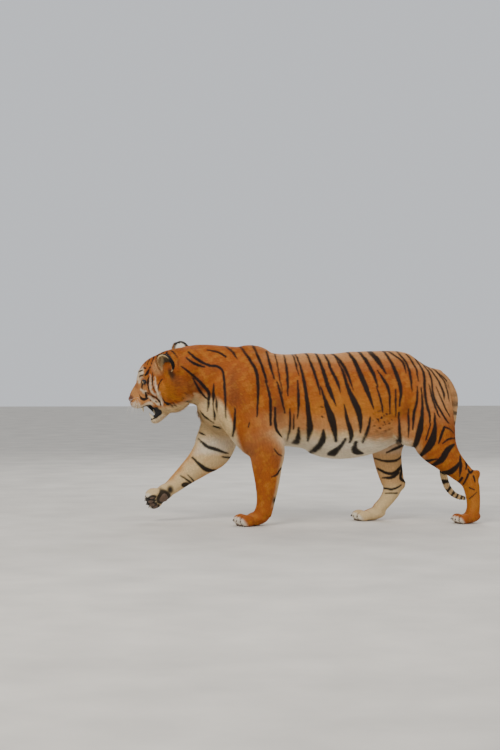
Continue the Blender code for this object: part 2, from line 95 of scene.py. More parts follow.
# The coat
COAT_SINK = 0.5               # of the standing coat's depth, that the skin lies inside the masses
LEAST_SINK = 0.0006
COAT_TUFTS = 400000
EAR_TUFTS = 7000
THICKER = 1.0
PIECE_TUFTS = 60000           # at most, in one piece of coat
TUFT_PATCH = 0.003            # of a tuft on the OFBake map
TUFT_SAMPLES = (("colours", 0.35), ("tip_colours", 0.65))    # where along a tuft the markings are read
PAINTED_TUFT_SHADING = (0.78, 0.78, 0.92, 1.10)      # painted shade and light: of both sides of its root, its back and its tip
SHADE_LIMITS = (0.003, 0.95)
LOCK_SHADE = 0.11             # how much lighter or darker a lock of tufts is
CROWDING = 0.85               # 1 would give the same cover everywhere
EAR_TUFT_WIDTH = 0.0008
UNDERSIDE = [1, 0, 3]         # corners that a tuft's underside has again, with normals of its own
SPIKE_FACES = np.array(((0, 2, 3), (2, 1, 3), (4, 5, 6)))
SHADE_UNDER_COAT = 0.80             # how light the skin is, next to the coat over it: painted shade under the coat

# How the head is carried: its origin lies midway between the ear canals
HEAD_ORIGIN = (-0.672, 0.022, 0.766)
HEAD_YAW = 28.0               # nose turned towards the tiger's right
HEAD_PITCH = 14.5             # nose lowered
HEAD_ROLL = 17.0              # crown leaning towards the tiger's left

# A station of a loft is x, y, z, half depth and half width, in millimetres. The trunk's and neck's
# also say how much wider the top is than the middle, in thousandths.
TRUNK = (
    (-462, 0, 552, 145, 114, 80),
    (-412, 0, 600, 203, 148, 120),
    (-330, 0, 648, 262, 172, 100),
    (-200, 0, 643, 255, 182, 20),
    (-100, 0, 643, 244, 192, -50),
    (30, 0, 639, 259, 202, -80),
    (150, 0, 617, 284, 206, -100),
    (280, 0, 626, 281, 198, -80),
    (400, 0, 655, 258, 180, -20),
    (500, 0, 680, 230, 166, 40),
    (600, 0, 690, 190, 152, 40),
    (670, 0, 706, 148, 116, 0),
    (714, 0, 728, 90, 78, 0),
)
NECK = (
    (-360, 0, 719, 217, 150, 0),
    (-470, 2, 758, 180, 140, 0),
    (-560, 14, 776, 163, 134, -50),
    (-640, 28, 778, 148, 124, -50),
)
TAIL = (
    (660, 0, 768, 52, 54),
    (728, 0, 740, 46, 45),
    (780, 5, 664, 38, 37),
    (788, 15, 590, 31, 31),
    (780, 32, 500, 29, 29),
    (765, 48, 400, 27, 27),
    (752, 56, 310, 25, 25),
    (752, 58, 245, 23, 23),
    (773, 56, 178, 21, 21),
    (812, 50, 135, 19, 19),
    (862, 44, 118, 16, 16),
)
LEGS = {
    "foreleg_left": (
        (-270, -70, 860, 60, 38),
        (-330, -110, 760, 100, 62),
        (-375, -135, 630, 118, 70),
        (-295, -142, 500, 120, 68),
        (-222, -142, 400, 102, 62),
        (-215, -142, 300, 80, 55),
        (-215, -141, 200, 62, 48),
        (-222, -140, 120, 49, 45),
        (-236, -140, 60, 47, 47),
    ),
    "foreleg_right": (
        (-300, 70, 860, 60, 38),
        (-370, 105, 740, 100, 60),
        (-412, 125, 610, 110, 66),
        (-440, 130, 490, 110, 64),
        (-480, 130, 380, 108, 60),
        (-548, 125, 309, 78, 55),
        (-612, 120, 255, 60, 48),
        (-663, 116, 212, 49, 45),
        (-705, 112, 176, 40, 45),
    ),
    "hindleg_left": (
        (620, -70, 760, 120, 60),
        (630, -105, 630, 130, 80),
        (646, -118, 510, 130, 80),
        (678, -118, 415, 112, 72),
        (735, -116, 338, 78, 58),
        (794, -114, 281, 60, 46),
        (852, -112, 222, 50, 38),
        (871, -110, 145, 41, 36),
        (874, -110, 85, 37, 38),
        (866, -110, 45, 38, 41),
    ),
    "hindleg_right": (
        (580, 70, 740, 130, 60),
        (535, 100, 600, 150, 78),
        (470, 112, 470, 115, 76),
        (455, 110, 380, 86, 64),
        (463, 107, 300, 75, 54),
        (480, 104, 222, 66, 46),
        (482, 102, 165, 52, 41),
        (448, 100, 105, 39, 38),
        (405, 100, 60, 35, 41),
    ),
}

# A muscle is centre, radii and turn about Y
MUSCLES = (
    ((-0.310, -0.120, 0.700), (0.120, 0.070, 0.160), 20),     # left shoulder blade
    ((-0.340, 0.120, 0.700), (0.120, 0.062, 0.160), 20),      # right shoulder blade
    ((-0.285, 0.000, 0.857), (0.125, 0.085, 0.078), 4),       # withers
    ((-0.300, -0.150, 0.520), (0.110, 0.060, 0.110), -30),    # left upper arm
    ((-0.170, -0.140, 0.425), (0.050, 0.045, 0.050), 0),      # left elbow
    ((0.560, -0.105, 0.680), (0.170, 0.078, 0.150), 15),      # left haunch
    ((0.540, 0.100, 0.680), (0.170, 0.074, 0.150), 15),       # right haunch
    ((0.515, -0.110, 0.500), (0.080, 0.050, 0.110), -35),     # left flank fold
    ((0.430, 0.100, 0.480), (0.075, 0.055, 0.100), -20),      # right flank fold
    ((0.886, -0.111, 0.252), (0.026, 0.024, 0.034), 25),      # left hock point
    ((0.534, 0.104, 0.190), (0.024, 0.024, 0.034), 15),       # right hock point
)

# Paws: middle of the sole, forward turn about Z, length, width and height
STANDING_PAWS = {
    "foreleg_left": ((-0.294, -0.142), 16, 0.184, 0.142, 0.074),
    "hindleg_left": ((0.839, -0.110), 14, 0.150, 0.124, 0.062),
    "hindleg_right": ((0.356, 0.100), 10, 0.186, 0.124, 0.068),
}
LIFTED = "foreleg_right"
LIFTED_PAW = ((-0.758, 0.104, 0.146), 0.176, 0.140, 0.070)    # middle, length, width and height
LIFTED_PAW_TURN = (-42, -24, 4)                               # sole rolled to the left, toes down
TOE_SPREAD = (-0.36, -0.13, 0.13, 0.36)                       # across the paw, as shares of its width
TOE_REACH = (0.80, 1.0, 1.0, 0.84)                            # ahead of its middle, as shares
TOE_LINE = (0.3, 0.1, -0.1, -0.3, -0.5)                       # along the paw, as shares of its length
TOE_CLEFTS = (-0.245, 0.0, 0.245)                             # across it, as shares of its width
# Pads as shares of a paw's length and width: middle, then half length and half width
PADS = (
    (0.040, 0.000, 0.150, 0.235),
    (-0.270, -0.310, 0.085, 0.085),
    (-0.340, -0.115, 0.095, 0.090),
    (-0.340, 0.115, 0.095, 0.090),
    (-0.270, 0.310, 0.085, 0.085),
)
PAD_TOP = 0.0125              # of the pads' upper edge, above the sole
PAD_DEPTH = 0.0130
RAISED_PAD = 0.0200           # depth of the lifted paw's heel pad
LEAST_CLEARANCE = 0.0002      # from the ground to the standing paws' pads
CLAW_TIP = (-0.0075, 0.0, -0.0085)     # from a claw's root
CLAW_RADIUS = 0.0027
CLAW_BEND = -0.0012           # of its middle, off the straight line

# The head in its own frame: X backwards, Y to its right, Z up
SKULL = (
    (120, 0, 14, 104, 100),
    (60, 0, 21, 124, 116),
    (0, 0, 20, 131, 122),
    (-60, 0, 24, 125, 112),
    (-110, 0, 28, 108, 92),
    (-150, 0, 12, 90, 70),
    (-195, 0, -20, 67, 59),
    (-240, 0, -41, 54, 58),
    (-276, 0, -53, 43, 47),
)
NOSE_BRIDGE = (
    (-120, 0, 82, 26, 42),
    (-200, 0, 30, 22, 38),
    (-260, 0, -11, 19, 34),
    (-283, 0, -34, 18, 28),
)
LOWER_JAW = (
    (10, 0, -90, 45, 86),
    (-60, 0, -118, 36, 74),
    (-120, 0, -153, 26, 55),
    (-170, 0, -178, 23, 43),
    (-205, 0, -187, 26, 36),
)
# Forms of the right side, each mirrored to the left: centre, radii and turn about Y
HEAD_FORMS = (
    ((-0.045, 0.066, -0.026), (0.110, 0.062, 0.078), 12),     # cheekbone
    ((-0.128, 0.045, 0.066), (0.062, 0.036, 0.034), 26),      # brow
    ((-0.146, 0.038, -0.016), (0.066, 0.035, 0.038), 20),     # under the eye
    ((-0.238, 0.045, -0.064), (0.052, 0.041, 0.037), 0),      # whisker pad
    ((-0.190, 0.042, -0.078), (0.062, 0.026, 0.024), 0),      # upper lip
    ((-0.088, 0.056, -0.084), (0.084, 0.044, 0.054), -12),    # corner of the mouth
    ((0.012, 0.090, -0.050), (0.084, 0.056, 0.104), 0),       # ruff beside the cheek
    ((-0.022, 0.074, -0.106), (0.090, 0.056, 0.060), -12),    # ruff below the cheek
    ((0.025, 0.072, 0.060), (0.094, 0.056, 0.062), 0),        # foot of the ear
)
CHIN = ((-0.208, 0.000, -0.188), (0.025, 0.033, 0.023))
NAPE = ((0.090, 0.000, 0.036), (0.110, 0.112, 0.100))
NOSE_TIP = (-0.300, 0.0, -0.030)       # where the face's coat starts
NOSE_LEATHER = ((0.0065, 0.0, 0.0), (0.0085, 0.0085, 0.0035))     # its shift and growth from the solid
NOSE = ((-0.288, 0.000, -0.044), (0.018, 0.028, 0.019))
TONGUE = ((-0.148, 0.000, -0.137), (0.044, 0.025, 0.010))
EAR = ((0.020, 0.112, 0.100), (0.035, 0.052, 0.064))          # right ear
EAR_HOLLOW = ((-0.023, 0.006, 0.008), (0.037, 0.040, 0.055))  # from the ear's centre
EAR_SHRINK = 0.004            # of the fine ear, inside the solid one
HOLLOW_SHRINK = 0.001
EAR_LIE = (0.15, 0.0, 1.0)    # of its hair, in the ear's frame
EAR_TURN = (-8, -14, -72)                                     # tip back and outwards, cup to the side
CANINES = {                   # of the right side: root, tip and radius at the root
    "upper": ((-0.238, 0.034, -0.080), (-0.239, 0.035, -0.128), 0.0105),
    "lower": ((-0.201, 0.026, -0.172), (-0.211, 0.029, -0.136), 0.0090),
}
CANINE_SHARE = 0.85           # of a solid canine's radius
CANINE_BEND = 0.003           # of its middle, off the straight line
# The upper and lower incisors: x and z of their roots, how far they reach, and their spacing
INCISOR_ROWS = ((-0.262, -0.086, -0.010, 0.0065), (-0.219, -0.174, 0.009, 0.0055))
# The mouth's wall, near-black as painted shade of its inside: x, y, top and bottom in millimetres, on the
# left cheek and round the back
MOUTH_WALL = (
    (-192, -38, -80, -174),
    (-178, -42, -80, -170),
    (-160, -44, -80, -166),
    (-130, -43, -80, -158),
    (-108, -34, -80, -150),
    (-100, 0, -80, -146),
)
# and further forward on the right cheek
FAR_LIP = (
    (-200, 36, -80, -174),
    (-216, 34, -80, -164),
    (-234, 30, -82, -124),
    (-250, 26, -84, -96),
)
LINING_THICK = 0.0016
INCISORS = 6                  # in a row
INCISOR_ARC = 0.001           # how far back a tooth stands, at one place from the row's middle
INCISOR_RADIUS = 0.0030
INCISOR_BEND = 0.0006

# The eyes
EYE = ((-0.152, 0.056, 0.034), 0.0205)                        # right eyeball's centre and radius
EYE_SHRINK = 0.0006           # of the fine eyeball, inside the solid one
EYE_TURN = math.radians(42)   # of the gaze, away from straight ahead
EYE_RINGS = (4, 8, 12, 17, 22, 27, 30, 34, 46, 64, 90, 120, 150)     # degrees from the gaze
EYE_BANDS = (8, 27, 34)       # edges of the pupil, the iris and its dark rim, in the same degrees
CORNEA_BULGE = 0.0010
CORNEA_EDGE = 46
LID_TURN = math.radians(58)   # of the slit between the lids
LID_WIDTH = 0.0155            # half of the slit's length
LID_HEIGHT = 0.0070           # half of its height
LID_THICK = 0.0012
LID_DROP = 0.0020             # of the slit's inner corner, and rise of its outer one
LID_POINT = 0.25              # how much narrower the band is towards its corners
LID_LEVEL = 1.5               # rings of this share and more have no drop
BALL_EDGE = 0.96              # how far out over the ball the rings reach, as a share of its radius
LID_RINGS = (                 # rings of the band, as shares of the slit, and how far they stand off the ball
    (1.00, 0.0004), (1.05, 0.0015), (1.16, 0.0020), (1.30, 0.0016), (1.50, 0.0002), (2.0, -0.004),
)

# Stripes of the trunk seen from the left: x, z and half width in millimetres. The right side wears
# the same ones, bent a little differently.
TRUNK_STRIPES = (
    # shoulder and ribs
    ((-350, 935, 4), (-312, 870, 6), (-274, 794, 7), (-265, 694, 6), (-272, 562, 3)),
    ((-280, 935, 5), (-253, 857, 6), (-228, 775, 5), (-214, 735, 2)),
    ((-226, 748, 3), (-203, 656, 6), (-200, 518, 5)),
    ((-208, 900, 4), (-198, 832, 6), (-180, 756, 3)),
    ((-166, 740, 3), (-150, 681, 5), (-127, 580, 3)),
    ((-165, 895, 3), (-157, 807, 3), (-140, 680, 2)),
    ((-178, 610, 4), (-172, 505, 7), (-140, 455, 3)),
    ((-117, 880, 3), (-111, 769, 6), (-112, 670, 3)),
    ((-70, 885, 3), (-60, 819, 4), (-54, 775, 2)),
    ((-60, 750, 3), (-57, 643, 6), (-62, 550, 2)),
    ((-102, 600, 3), (-98, 510, 5), (-105, 430, 2)),
    ((-82, 575, 2), (-79, 500, 4)),
    ((-56, 885, 3), (-32, 781, 6), (-16, 656, 8), (-4, 555, 10), (4, 500, 13), (-2, 436, 4)),
    ((-52, 505, 3), (-52, 450, 11), (-64, 408, 15)),
    ((0, 895, 4), (24, 807, 6), (44, 731, 5), (54, 676, 2)),
    ((50, 895, 5), (71, 819, 7), (90, 740, 9), (115, 668, 7), (136, 616, 2)),
    ((58, 718, 3), (88, 618, 10), (115, 543, 15), (142, 436, 6)),
    ((94, 895, 4), (122, 794, 7), (149, 731, 6), (161, 686, 2)),
    ((128, 905, 4), (178, 838, 6), (199, 788, 7), (227, 700, 2)),
    ((141, 890, 2), (178, 794, 5), (199, 712, 8), (231, 640, 12), (257, 575, 12), (267, 480, 4)),
    ((178, 624, 3), (193, 543, 8), (218, 475, 10), (214, 432, 5)),
    ((214, 915, 5), (252, 832, 9), (277, 756, 11), (302, 690, 10), (334, 600, 2)),
    ((316, 560, 3), (304, 492, 7), (282, 428, 5)),
    ((272, 915, 5), (310, 844, 8), (335, 788, 8), (358, 715, 3)),
    ((328, 915, 9), (368, 851, 11), (404, 785, 3)),
    ((360, 800, 3), (394, 744, 7), (417, 681, 6), (420, 575, 2)),
    ((350, 716, 3), (375, 631, 5), (382, 582, 2)),
    ((405, 915, 5), (444, 826, 8), (466, 756, 10), (478, 693, 8), (472, 612, 3)),
    ((452, 700, 3), (452, 630, 5), (454, 560, 2)),
    # rump
    ((395, 925, 3), (472, 872, 4), (503, 830, 5), (509, 785, 2)),
    ((480, 905, 4), (520, 830, 6), (530, 760, 6), (535, 690, 2)),
    ((530, 885, 4), (561, 819, 5), (570, 745, 3)),
    ((563, 716, 3), (562, 643, 6), (546, 573, 6), (543, 490, 3)),
    ((575, 870, 4), (601, 791, 6), (602, 701, 7), (611, 623, 7), (625, 565, 6), (625, 500, 2)),
    ((583, 708, 3), (590, 623, 6), (584, 556, 8), (568, 475, 11), (560, 404, 12), (551, 362, 4)),
    ((605, 855, 3), (639, 768, 5), (646, 690, 5), (662, 631, 5), (686, 588, 5), (714, 545, 5),
     (746, 508, 2)),
    ((626, 726, 3), (646, 643, 5), (670, 573, 4), (682, 558, 2)),
    ((622, 840, 3), (677, 753, 5), (706, 682, 6), (707, 648, 2)),
    ((666, 716, 2), (695, 643, 4), (715, 597, 4), (738, 562, 2)),
    ((640, 836, 2), (706, 760, 4), (735, 715, 2)),
    ((714, 740, 2), (731, 690, 4), (738, 640, 2)),
    ((675, 800, 2), (745, 735, 4), (757, 690, 2)),
    # neck
    ((-519, 907, 3), (-469, 895, 5), (-425, 869, 4)),
    ((-428, 930, 3), (-387, 895, 5), (-367, 860, 2)),
    ((-618, 892, 4), (-563, 851, 6), (-513, 826, 5), (-469, 822, 5), (-441, 788, 5), (-435, 681, 5),
     (-431, 556, 2)),
    ((-630, 866, 3), (-582, 832, 6), (-536, 818, 3)),
    ((-655, 822, 3), (-595, 775, 5), (-544, 725, 6), (-513, 681, 6), (-514, 631, 5), (-519, 588, 2)),
    ((-597, 763, 3), (-557, 693, 5), (-519, 652, 3)),
    ((-488, 730, 2), (-491, 681, 6), (-482, 624, 9), (-483, 545, 3)),
    ((-385, 610, 2), (-387, 530, 6), (-395, 462, 4)),
    ((-311, 535, 2), (-321, 480, 5), (-329, 406, 3)),
    ((-563, 593, 3), (-532, 561, 4), (-485, 528, 2)),
    ((-556, 500, 2), (-528, 478, 4), (-510, 462, 2)),
    ((-487, 512, 3), (-450, 500, 4)),
    # belly
    ((72, 492, 4), (70, 432, 14), (30, 372, 10)),
    ((190, 446, 6), (165, 405, 9), (128, 362, 18)),
    ((245, 426, 8), (245, 386, 12), (292, 366, 6)),
    ((-100, 412, 4), (-58, 402, 6)),
    ((-30, 404, 4), (-12, 388, 8)),
)
# On the thigh and lower hind leg of the left side
LEFT_HIND_STRIPES = (
    ((470, 580, 4), (476, 490, 7), (485, 405, 9)),
    ((520, 600, 3), (522, 520, 6), (520, 452, 2)),
    ((590, 580, 6), (575, 490, 14), (552, 378, 7)),
    ((650, 580, 3), (652, 500, 9), (634, 423, 19), (588, 352, 7)),
    ((630, 524, 3), (606, 440, 4)),
    ((704, 507, 6), (686, 462, 7), (672, 420, 3)),
    ((702, 506, 5), (730, 497, 4), (760, 476, 2)),
    ((694, 420, 3), (728, 443, 5), (768, 448, 3)),
    ((760, 415, 6), (720, 384, 15), (690, 334, 15), (646, 302, 6)),
    ((616, 326, 8), (670, 340, 3)),
    ((792, 323, 5), (764, 290, 12), (730, 265, 13), (690, 268, 3)),
    ((794, 354, 4), (796, 301, 8), (792, 248, 2)),
    ((832, 316, 7), (826, 286, 4)),
    ((838, 284, 4), (850, 266, 7), (872, 280, 3)),
    ((838, 258, 6), (814, 208, 4)),
    ((804, 242, 6), (788, 208, 4)),
    ((866, 246, 5), (876, 216, 3)),
    ((884, 165, 2), (848, 134, 3)),
    ((845, 190, 3), (870, 178, 3)),
)
RIGHT_HIND_STRIPES = (
    ((440, 366, 4), (496, 386, 8), (545, 396, 8)),
    ((372, 336, 3), (426, 322, 6), (490, 319, 6), (535, 338, 3)),
    ((384, 284, 4), (426, 258, 7), (473, 255, 8), (524, 284, 9)),
    ((410, 229, 3), (461, 232, 8), (500, 254, 7)),
    ((522, 272, 6), (513, 223, 7), (552, 188, 4)),
    ((418, 176, 4), (467, 165, 6), (518, 185, 4)),
    ((430, 146, 3), (495, 142, 4)),
)
# Bars on the inner side of each foreleg
RIGHT_FORE_BARS = (
    ((-545, 452, 3), (-512, 408, 7), (-459, 382, 8), (-410, 354, 3)),
    ((-592, 352, 4), (-551, 310, 8), (-518, 284, 10), (-474, 272, 5)),
    ((-436, 341, 3), (-404, 325, 5)),
    ((-655, 258, 3), (-604, 222, 5)),
    ((-620, 262, 2), (-586, 228, 4)),
)
LEFT_FORE_BARS = (
    ((-330, 420, 3), (-250, 395, 8), (-160, 420, 4)),
    ((-290, 330, 3), (-225, 305, 9), (-150, 325, 4)),
    ((-260, 230, 2), (-210, 215, 6), (-165, 228, 3)),
)
# At the back of the left foreleg
FORE_TICKS = (
    ((-196, 252, 2), (-170, 264, 4), (-146, 296, 4)),
    ((-186, 400, 2), (-165, 376, 3), (-140, 362, 2)),
)
# Of the head's left side, in its own frame: x, z and half width
CHEEK_STRIPES = (
    # brow
    ((-183, 63, 1.5), (-159, 73, 3), (-140, 77, 2)),
    ((-102, 88, 5), (-115, 78, 7), (-131, 70, 4)),
    ((-98, 96, 3), (-92, 100, 4)),
    ((-176, 90, 1), (-158, 96, 3), (-143, 97, 2)),
    ((-138, 106, 2), (-122, 100, 3)),
    # behind the eye
    ((-114, 54, 3), (-126, 36, 6), (-134, 20, 6), (-131, 4, 4), (-133, -12, 3), (-140, -26, 2)),
    ((-81, 74, 2), (-84, 58, 3), (-92, 40, 4), (-95, 20, 4), (-94, 4, 3), (-90, -14, 2), (-86, -30, 1)),
    ((-27, 30, 2), (-42, 23, 3), (-57, 8, 3), (-67, -10, 3), (-71, -26, 1)),
    # under the eye
    ((-214, -26, 2), (-206, -45, 4), (-193, -55, 6), (-178, -57, 4)),
    ((-174, -22, 4), (-180, -39, 6), (-185, -52, 5)),
    ((-172, -23, 3), (-154, -31, 3), (-130, -43, 4), (-108, -57, 4), (-100, -73, 5), (-97, -90, 5),
     (-98, -104, 3)),
    ((-163, -67, 3), (-157, -71, 3)),
    ((-121, -75, 3), (-115, -81, 3)),
    # lower edge of the cheek
    ((-68, -64, 2), (-62, -88, 5), (-40, -103, 6)),
    ((-31, -102, 4), (-24, -122, 4)),
    ((-8, -104, 4), (-6, -126, 3)),
    ((44, -99, 3), (52, -90, 3)),
    ((70, -68, 3), (75, -80, 4), (76, -92, 2)),
    ((58, -120, 3), (74, -124, 2)),
)
# Of its crown, mirrored: x, distance from the middle and half width
CROWN_STRIPES = (
    ((-150, 0, 3), (-132, 14, 3), (-128, 34, 2)),
    ((-116, 0, 4), (-106, 20, 4), (-110, 52, 3)),
    ((-88, 4, 3), (-74, 30, 4), (-84, 60, 3)),
    ((-58, 10, 3), (-48, 36, 4), (-56, 64, 2)),
    ((-68, 0, 3), (-48, 0, 3)),
    ((-20, 0, 3), (-26, 14, 4), (-30, 34, 3)),
    ((4, 14, 3), (10, 40, 6), (23, 56, 5), (40, 78, 3)),
    ((24, 10, 2), (50, 42, 4), (70, 68, 4), (84, 90, 4), (82, 112, 3)),
    ((86, 6, 4), (94, 26, 3)),
)
# White fur of the cheek: brow, the bands behind the eye, below the eye, and the lip
CHEEK_WHITES = (
    ((-200, 60, 9), (-178, 81, 14), (-150, 95, 14)),
    ((-196, 44, 6), (-178, 52, 5), (-157, 63, 4)),
    ((-98, 56, 4), (-107, 35, 6), (-113, 10, 8), (-116, -8, 9), (-112, -26, 9), (-102, -40, 7)),
    ((-70, 50, 4), (-78, 29, 6), (-78, 7, 7), (-77, -16, 8), (-79, -36, 9), (-80, -56, 10),
     (-83, -80, 10), (-88, -102, 11)),
    ((-191, -6, 6), (-181, -21, 8), (-165, -16, 5)),
    ((-169, -46, 6), (-147, -62, 10), (-122, -72, 10), (-110, -94, 10)),
    ((-240, -90, 10), (-200, -86, 10), (-150, -88, 9)),
)
TEAR_LINES = (
    ((-174, 26, 5), (-182, 12, 5), (-186, -2, 2)),
)
# How much wider than drawn the stripes are painted, for the tufts that lie over their edges
STRIPE_SWELL = 1.32
REAR_SWELL = 1.15             # of the rump's and hind legs' stripes
FORE_SWELL = 1.25             # of the forelegs' bars
FACE_SWELL = 1.15
REAR_FROM = 400               # stripes that start behind this x, in millimetres, are the rump's
STRIPE_SOFT = 0.0020          # half width of a stripe's soft edge
RING_PITCH = 0.052            # of the tail's rings

# Patches of colour as soft ovals: middle x and z, then half size
GOLDEN_FLANK = ((0.220, 0.600), (0.380, 0.160))
FLANK_FRECKLES = ((0.385, 0.535), (0.085, 0.100))
RIB_FRECKLES = ((0.05, 0.58), (0.06, 0.07))
DARK_SOLE = ((-0.706, 0.172), (0.026, 0.034))
DARK_HEEL = ((-0.176, 0.130), (0.020, 0.030))
PAINTED_SHADE_PLACES = (             # painted shade in the creases and folds, and how dark
    ((-0.155, 0.575), (0.055, 0.140), 1.0),      # behind the shoulder
    ((-0.395, 0.690), (0.045, 0.160), 0.7),      # before it
    ((0.500, 0.560), (0.050, 0.150), 0.6),       # where the flank meets the thigh
    ((-0.595, 0.715), (0.085, 0.060), 0.9),      # in the neck's fold
)
# and of the head, in its own frame
# painted shade of the neck's fold behind the cheek
NECK_SHADE = ((0.060, -0.005), (0.050, 0.060))
GOLDEN_CHEEK = ((-0.025, -0.035), (0.075, 0.070))
EAR_FLUFF = ((-0.040, 0.095), (0.060, 0.055))
EAR_FOOT = ((0.034, 0.045), (0.024, 0.050))
RUSTY_BRIDGE = ((-0.212, 0.020), (0.045, 0.020))
# Upper edge of the pale chest and throat, from the jaw down to the elbow: x and z
CHEST_EDGE = (
    (-0.660, 0.655), (-0.500, 0.662), (-0.450, 0.630), (-0.410, 0.570), (-0.385, 0.500), (-0.310, 0.410),
)
# Folds of the loose skin: middle x and z, half size, pitch, slope and height
SKIN_FOLDS = (
    ((-0.14, 0.50), (0.05, 0.10), 62.0, 0.35, 0.0022),
    ((-0.52, 0.70), (0.10, 0.12), 70.0, -0.80, 0.0018),
    ((0.47, 0.50), (0.06, 0.10), 55.0, 0.90, 0.0022),
    ((-0.02, 0.64), (0.14, 0.14), 95.0, 0.25, 0.0010),
)
WHISKER_ROWS = (              # on the right pad: x, z of the first whisker and how many
    (-0.262, -0.038, 4),
    (-0.266, -0.050, 5),
    (-0.266, -0.062, 5),
    (-0.262, -0.074, 4),
)
BROW_HAIRS = 6                # over each eye
WHISKER_RINGS = 9
WHISKER_LENGTHS = (0.055, 0.095)
BROW_HAIR_LENGTHS = (0.035, 0.060)
BROW_HAIR_DROOP = 0.1
WHISKER_DROOPS = (0.5, 1.3)   # how strongly its end bends down
WHISKER_THICK = 0.00052       # radius at the root
BROW_HAIR_THICK = 0.00045
WHISKER_TIP = 0.00012
WHISKER_SIDES = (             # left and right: outward heading and length, as shares
    (-1, 0.55, 1.0),
    (1, 0.0, 0.50),
)

# Regions of the body, for the coat's lie, length and markings
REGIONS = 8
GUIDE_FALL = 7.0              # how fast a guide's hold on the coat falls with distance
AT_ONCE = 20000               # points looked up at a time
ON_TRUNK, ON_NECK, ON_TAIL, ON_FORE_LEFT, ON_FORE_RIGHT, ON_HIND_LEFT, ON_HIND_RIGHT, ON_PAW = range(REGIONS)

# Solids that the skin replaces
FLESH = ("neck", "chest", "belly", "rump", "tail_base", "tail_middle", "tail_tip",
         "foreleg_left_upper", "foreleg_left_lower", "forepaw_left",
         "foreleg_right_upper", "foreleg_right_lower", "forepaw_right",
         "hindleg_left_upper", "hindleg_left_lower", "hindpaw_left",
         "hindleg_right_upper", "hindleg_right_lower", "hindpaw_right", "head", "jaw")


def tone(red, green, blue):
    """A linear colour from one in sRGB of 0 to 255."""
    share = np.array((red, green, blue)) / 255
    return np.where(share <= 0.04045, share / 12.92, ((share + 0.055) / 1.055) ** 2.4)


ORANGE = tone(162, 84, 20)
RUST = tone(124, 58, 14)
UMBER = tone(92, 46, 22)
GOLD = tone(190, 120, 38)
TAN = tone(206, 154, 100)
CREAM = tone(220, 190, 140)
WHITE = tone(236, 226, 206)
BLACK = tone(14, 10, 9)
NOSE_PINK = tone(112, 66, 46)
# near-black: the lips' own black, and painted shade of the mouth's inside
LIPS_AND_MOUTH_SHADE = tone(12, 8, 7)
PAD = tone(96, 74, 58)
EAR_CUP_SHADE = tone(44, 36, 32)


def catmull_rom(table, steps):
    """A table in thousandths, read off a smooth curve through its rows."""
    rows = np.array(table, dtype=float) / 1000
    padded = np.vstack((2 * rows[0] - rows[1], rows, 2 * rows[-1] - rows[-2]))
    out = []
    for i in range(1, len(padded) - 2):
        a, b, c, d = padded[i - 1:i + 3]
        for t in np.arange(steps) / steps:
            out.append(0.5 * (2 * b + (c - a) * t + (2 * a - 5 * b + 4 * c - d) * t ** 2
                              + (3 * b - a - 3 * c + d) * t ** 3))
    out.append(rows[-1])
    return np.array(out)


def angles(steps):
    """Angles evenly spread round a circle."""
    return [2 * math.pi * step / steps for step in range(steps)]


def ring_faces(rings, steps, closed=True):
    """Quads between rings of equal steps."""
    faces = []
    for ring in range(rings - 1):
        for i in range(steps if closed else steps - 1):
            j = (i + 1) % steps
            here, there = ring * steps, (ring + 1) * steps
            faces.append((here + i, here + j, there + j, there + i))
    return faces


def ball_faces(rings, steps):
    """Faces of a ball whose points are a pole, rings of equal steps and the other pole."""
    last = 1 + (rings - 1) * steps
    faces = [(0, 1 + i, 1 + (i + 1) % steps) for i in range(steps)]
    faces += [tuple(1 + i for i in face) for face in ring_faces(rings, steps)]
    return faces + [(last + (i + 1) % steps, last + i, last + steps) for i in range(steps)]


def add_loft(bm, stations):
    """A closed body of rounded rings along a path, with domed ends."""
    # a station of five numbers is as wide at its top as at its bottom
    rows = catmull_rom([(*station, 0)[:6] for station in stations], LOFT_STEPS)
    tangents = np.gradient(rows[:, :3], axis=0)
    tangents /= np.linalg.norm(tangents, axis=1)[:, None]
    dome = [(math.sin(a) * DOME_DEPTH, math.cos(a)) for a in np.radians(DOME_ANGLES)]
    first, last = rows[0], rows[-1]
    rings = [(first[:3] - tangents[0] * out * first[3], tangents[0], first, shrink) for out, shrink in dome]
    rings += [(row[:3], tangent, row, 1.0) for row, tangent in zip(rows, tangents)]
    rings += [(last[:3] + tangents[-1] * out * last[3], tangents[-1], last, shrink)
              for out, shrink in reversed(dome)]
    verts = []
    for centre, tangent, row, shrink in rings:
        side = np.array((0.0, 1.0, 0.0)) - tangent * tangent[1]
        side /= np.linalg.norm(side)
        up = np.cross(tangent, side)
        for angle in angles(LOFT_SIDES):
            height = math.sin(angle)
            width = math.cos(angle) * (1.0 + row[5] * height)
            verts.append(bm.verts.new(centre + shrink * (up * height * row[3] + side * width * row[4])))
    for face in ring_faces(len(rings), LOFT_SIDES):
        bm.faces.new([verts[i] for i in face])
    bm.faces.new(verts[:LOFT_SIDES])
    bm.faces.new(verts[-LOFT_SIDES:])


def add_ball(bm, centre, radii, turn=(0, 0, 0), matrix=Matrix()):
    """An ellipsoid."""
    turned = Euler([math.radians(a) for a in turn]).to_matrix().to_4x4()
    place = matrix @ Matrix.Translation(centre) @ turned @ Matrix.Diagonal((*radii, 1.0))
    bmesh.ops.create_uvsphere(bm, u_segments=2 * BALL_RINGS, v_segments=BALL_RINGS, radius=1.0, matrix=place)


def add_paw(bm, matrix, length, width, height):
    """A paw whose sole's middle is the matrix's origin, with its toes towards -X."""
    add_ball(bm, (0.16 * length, 0, 0.52 * height), (0.36 * length, 0.40 * width, 0.50 * height),
             (0, -8, 0), matrix)
    add_ball(bm, (0.02 * length, 0, 0.30 * height), (0.30 * length, 0.36 * width, 0.36 * height),
             (0, 0, 0), matrix)
    for spread, reach in zip(TOE_SPREAD, TOE_REACH):
        middle = (-0.27 * length * reach, spread * width, 0.40 * height)
        add_ball(bm, middle, (0.24 * length, 0.145 * width, 0.44 * height), (0, 0, -14 * spread), matrix)


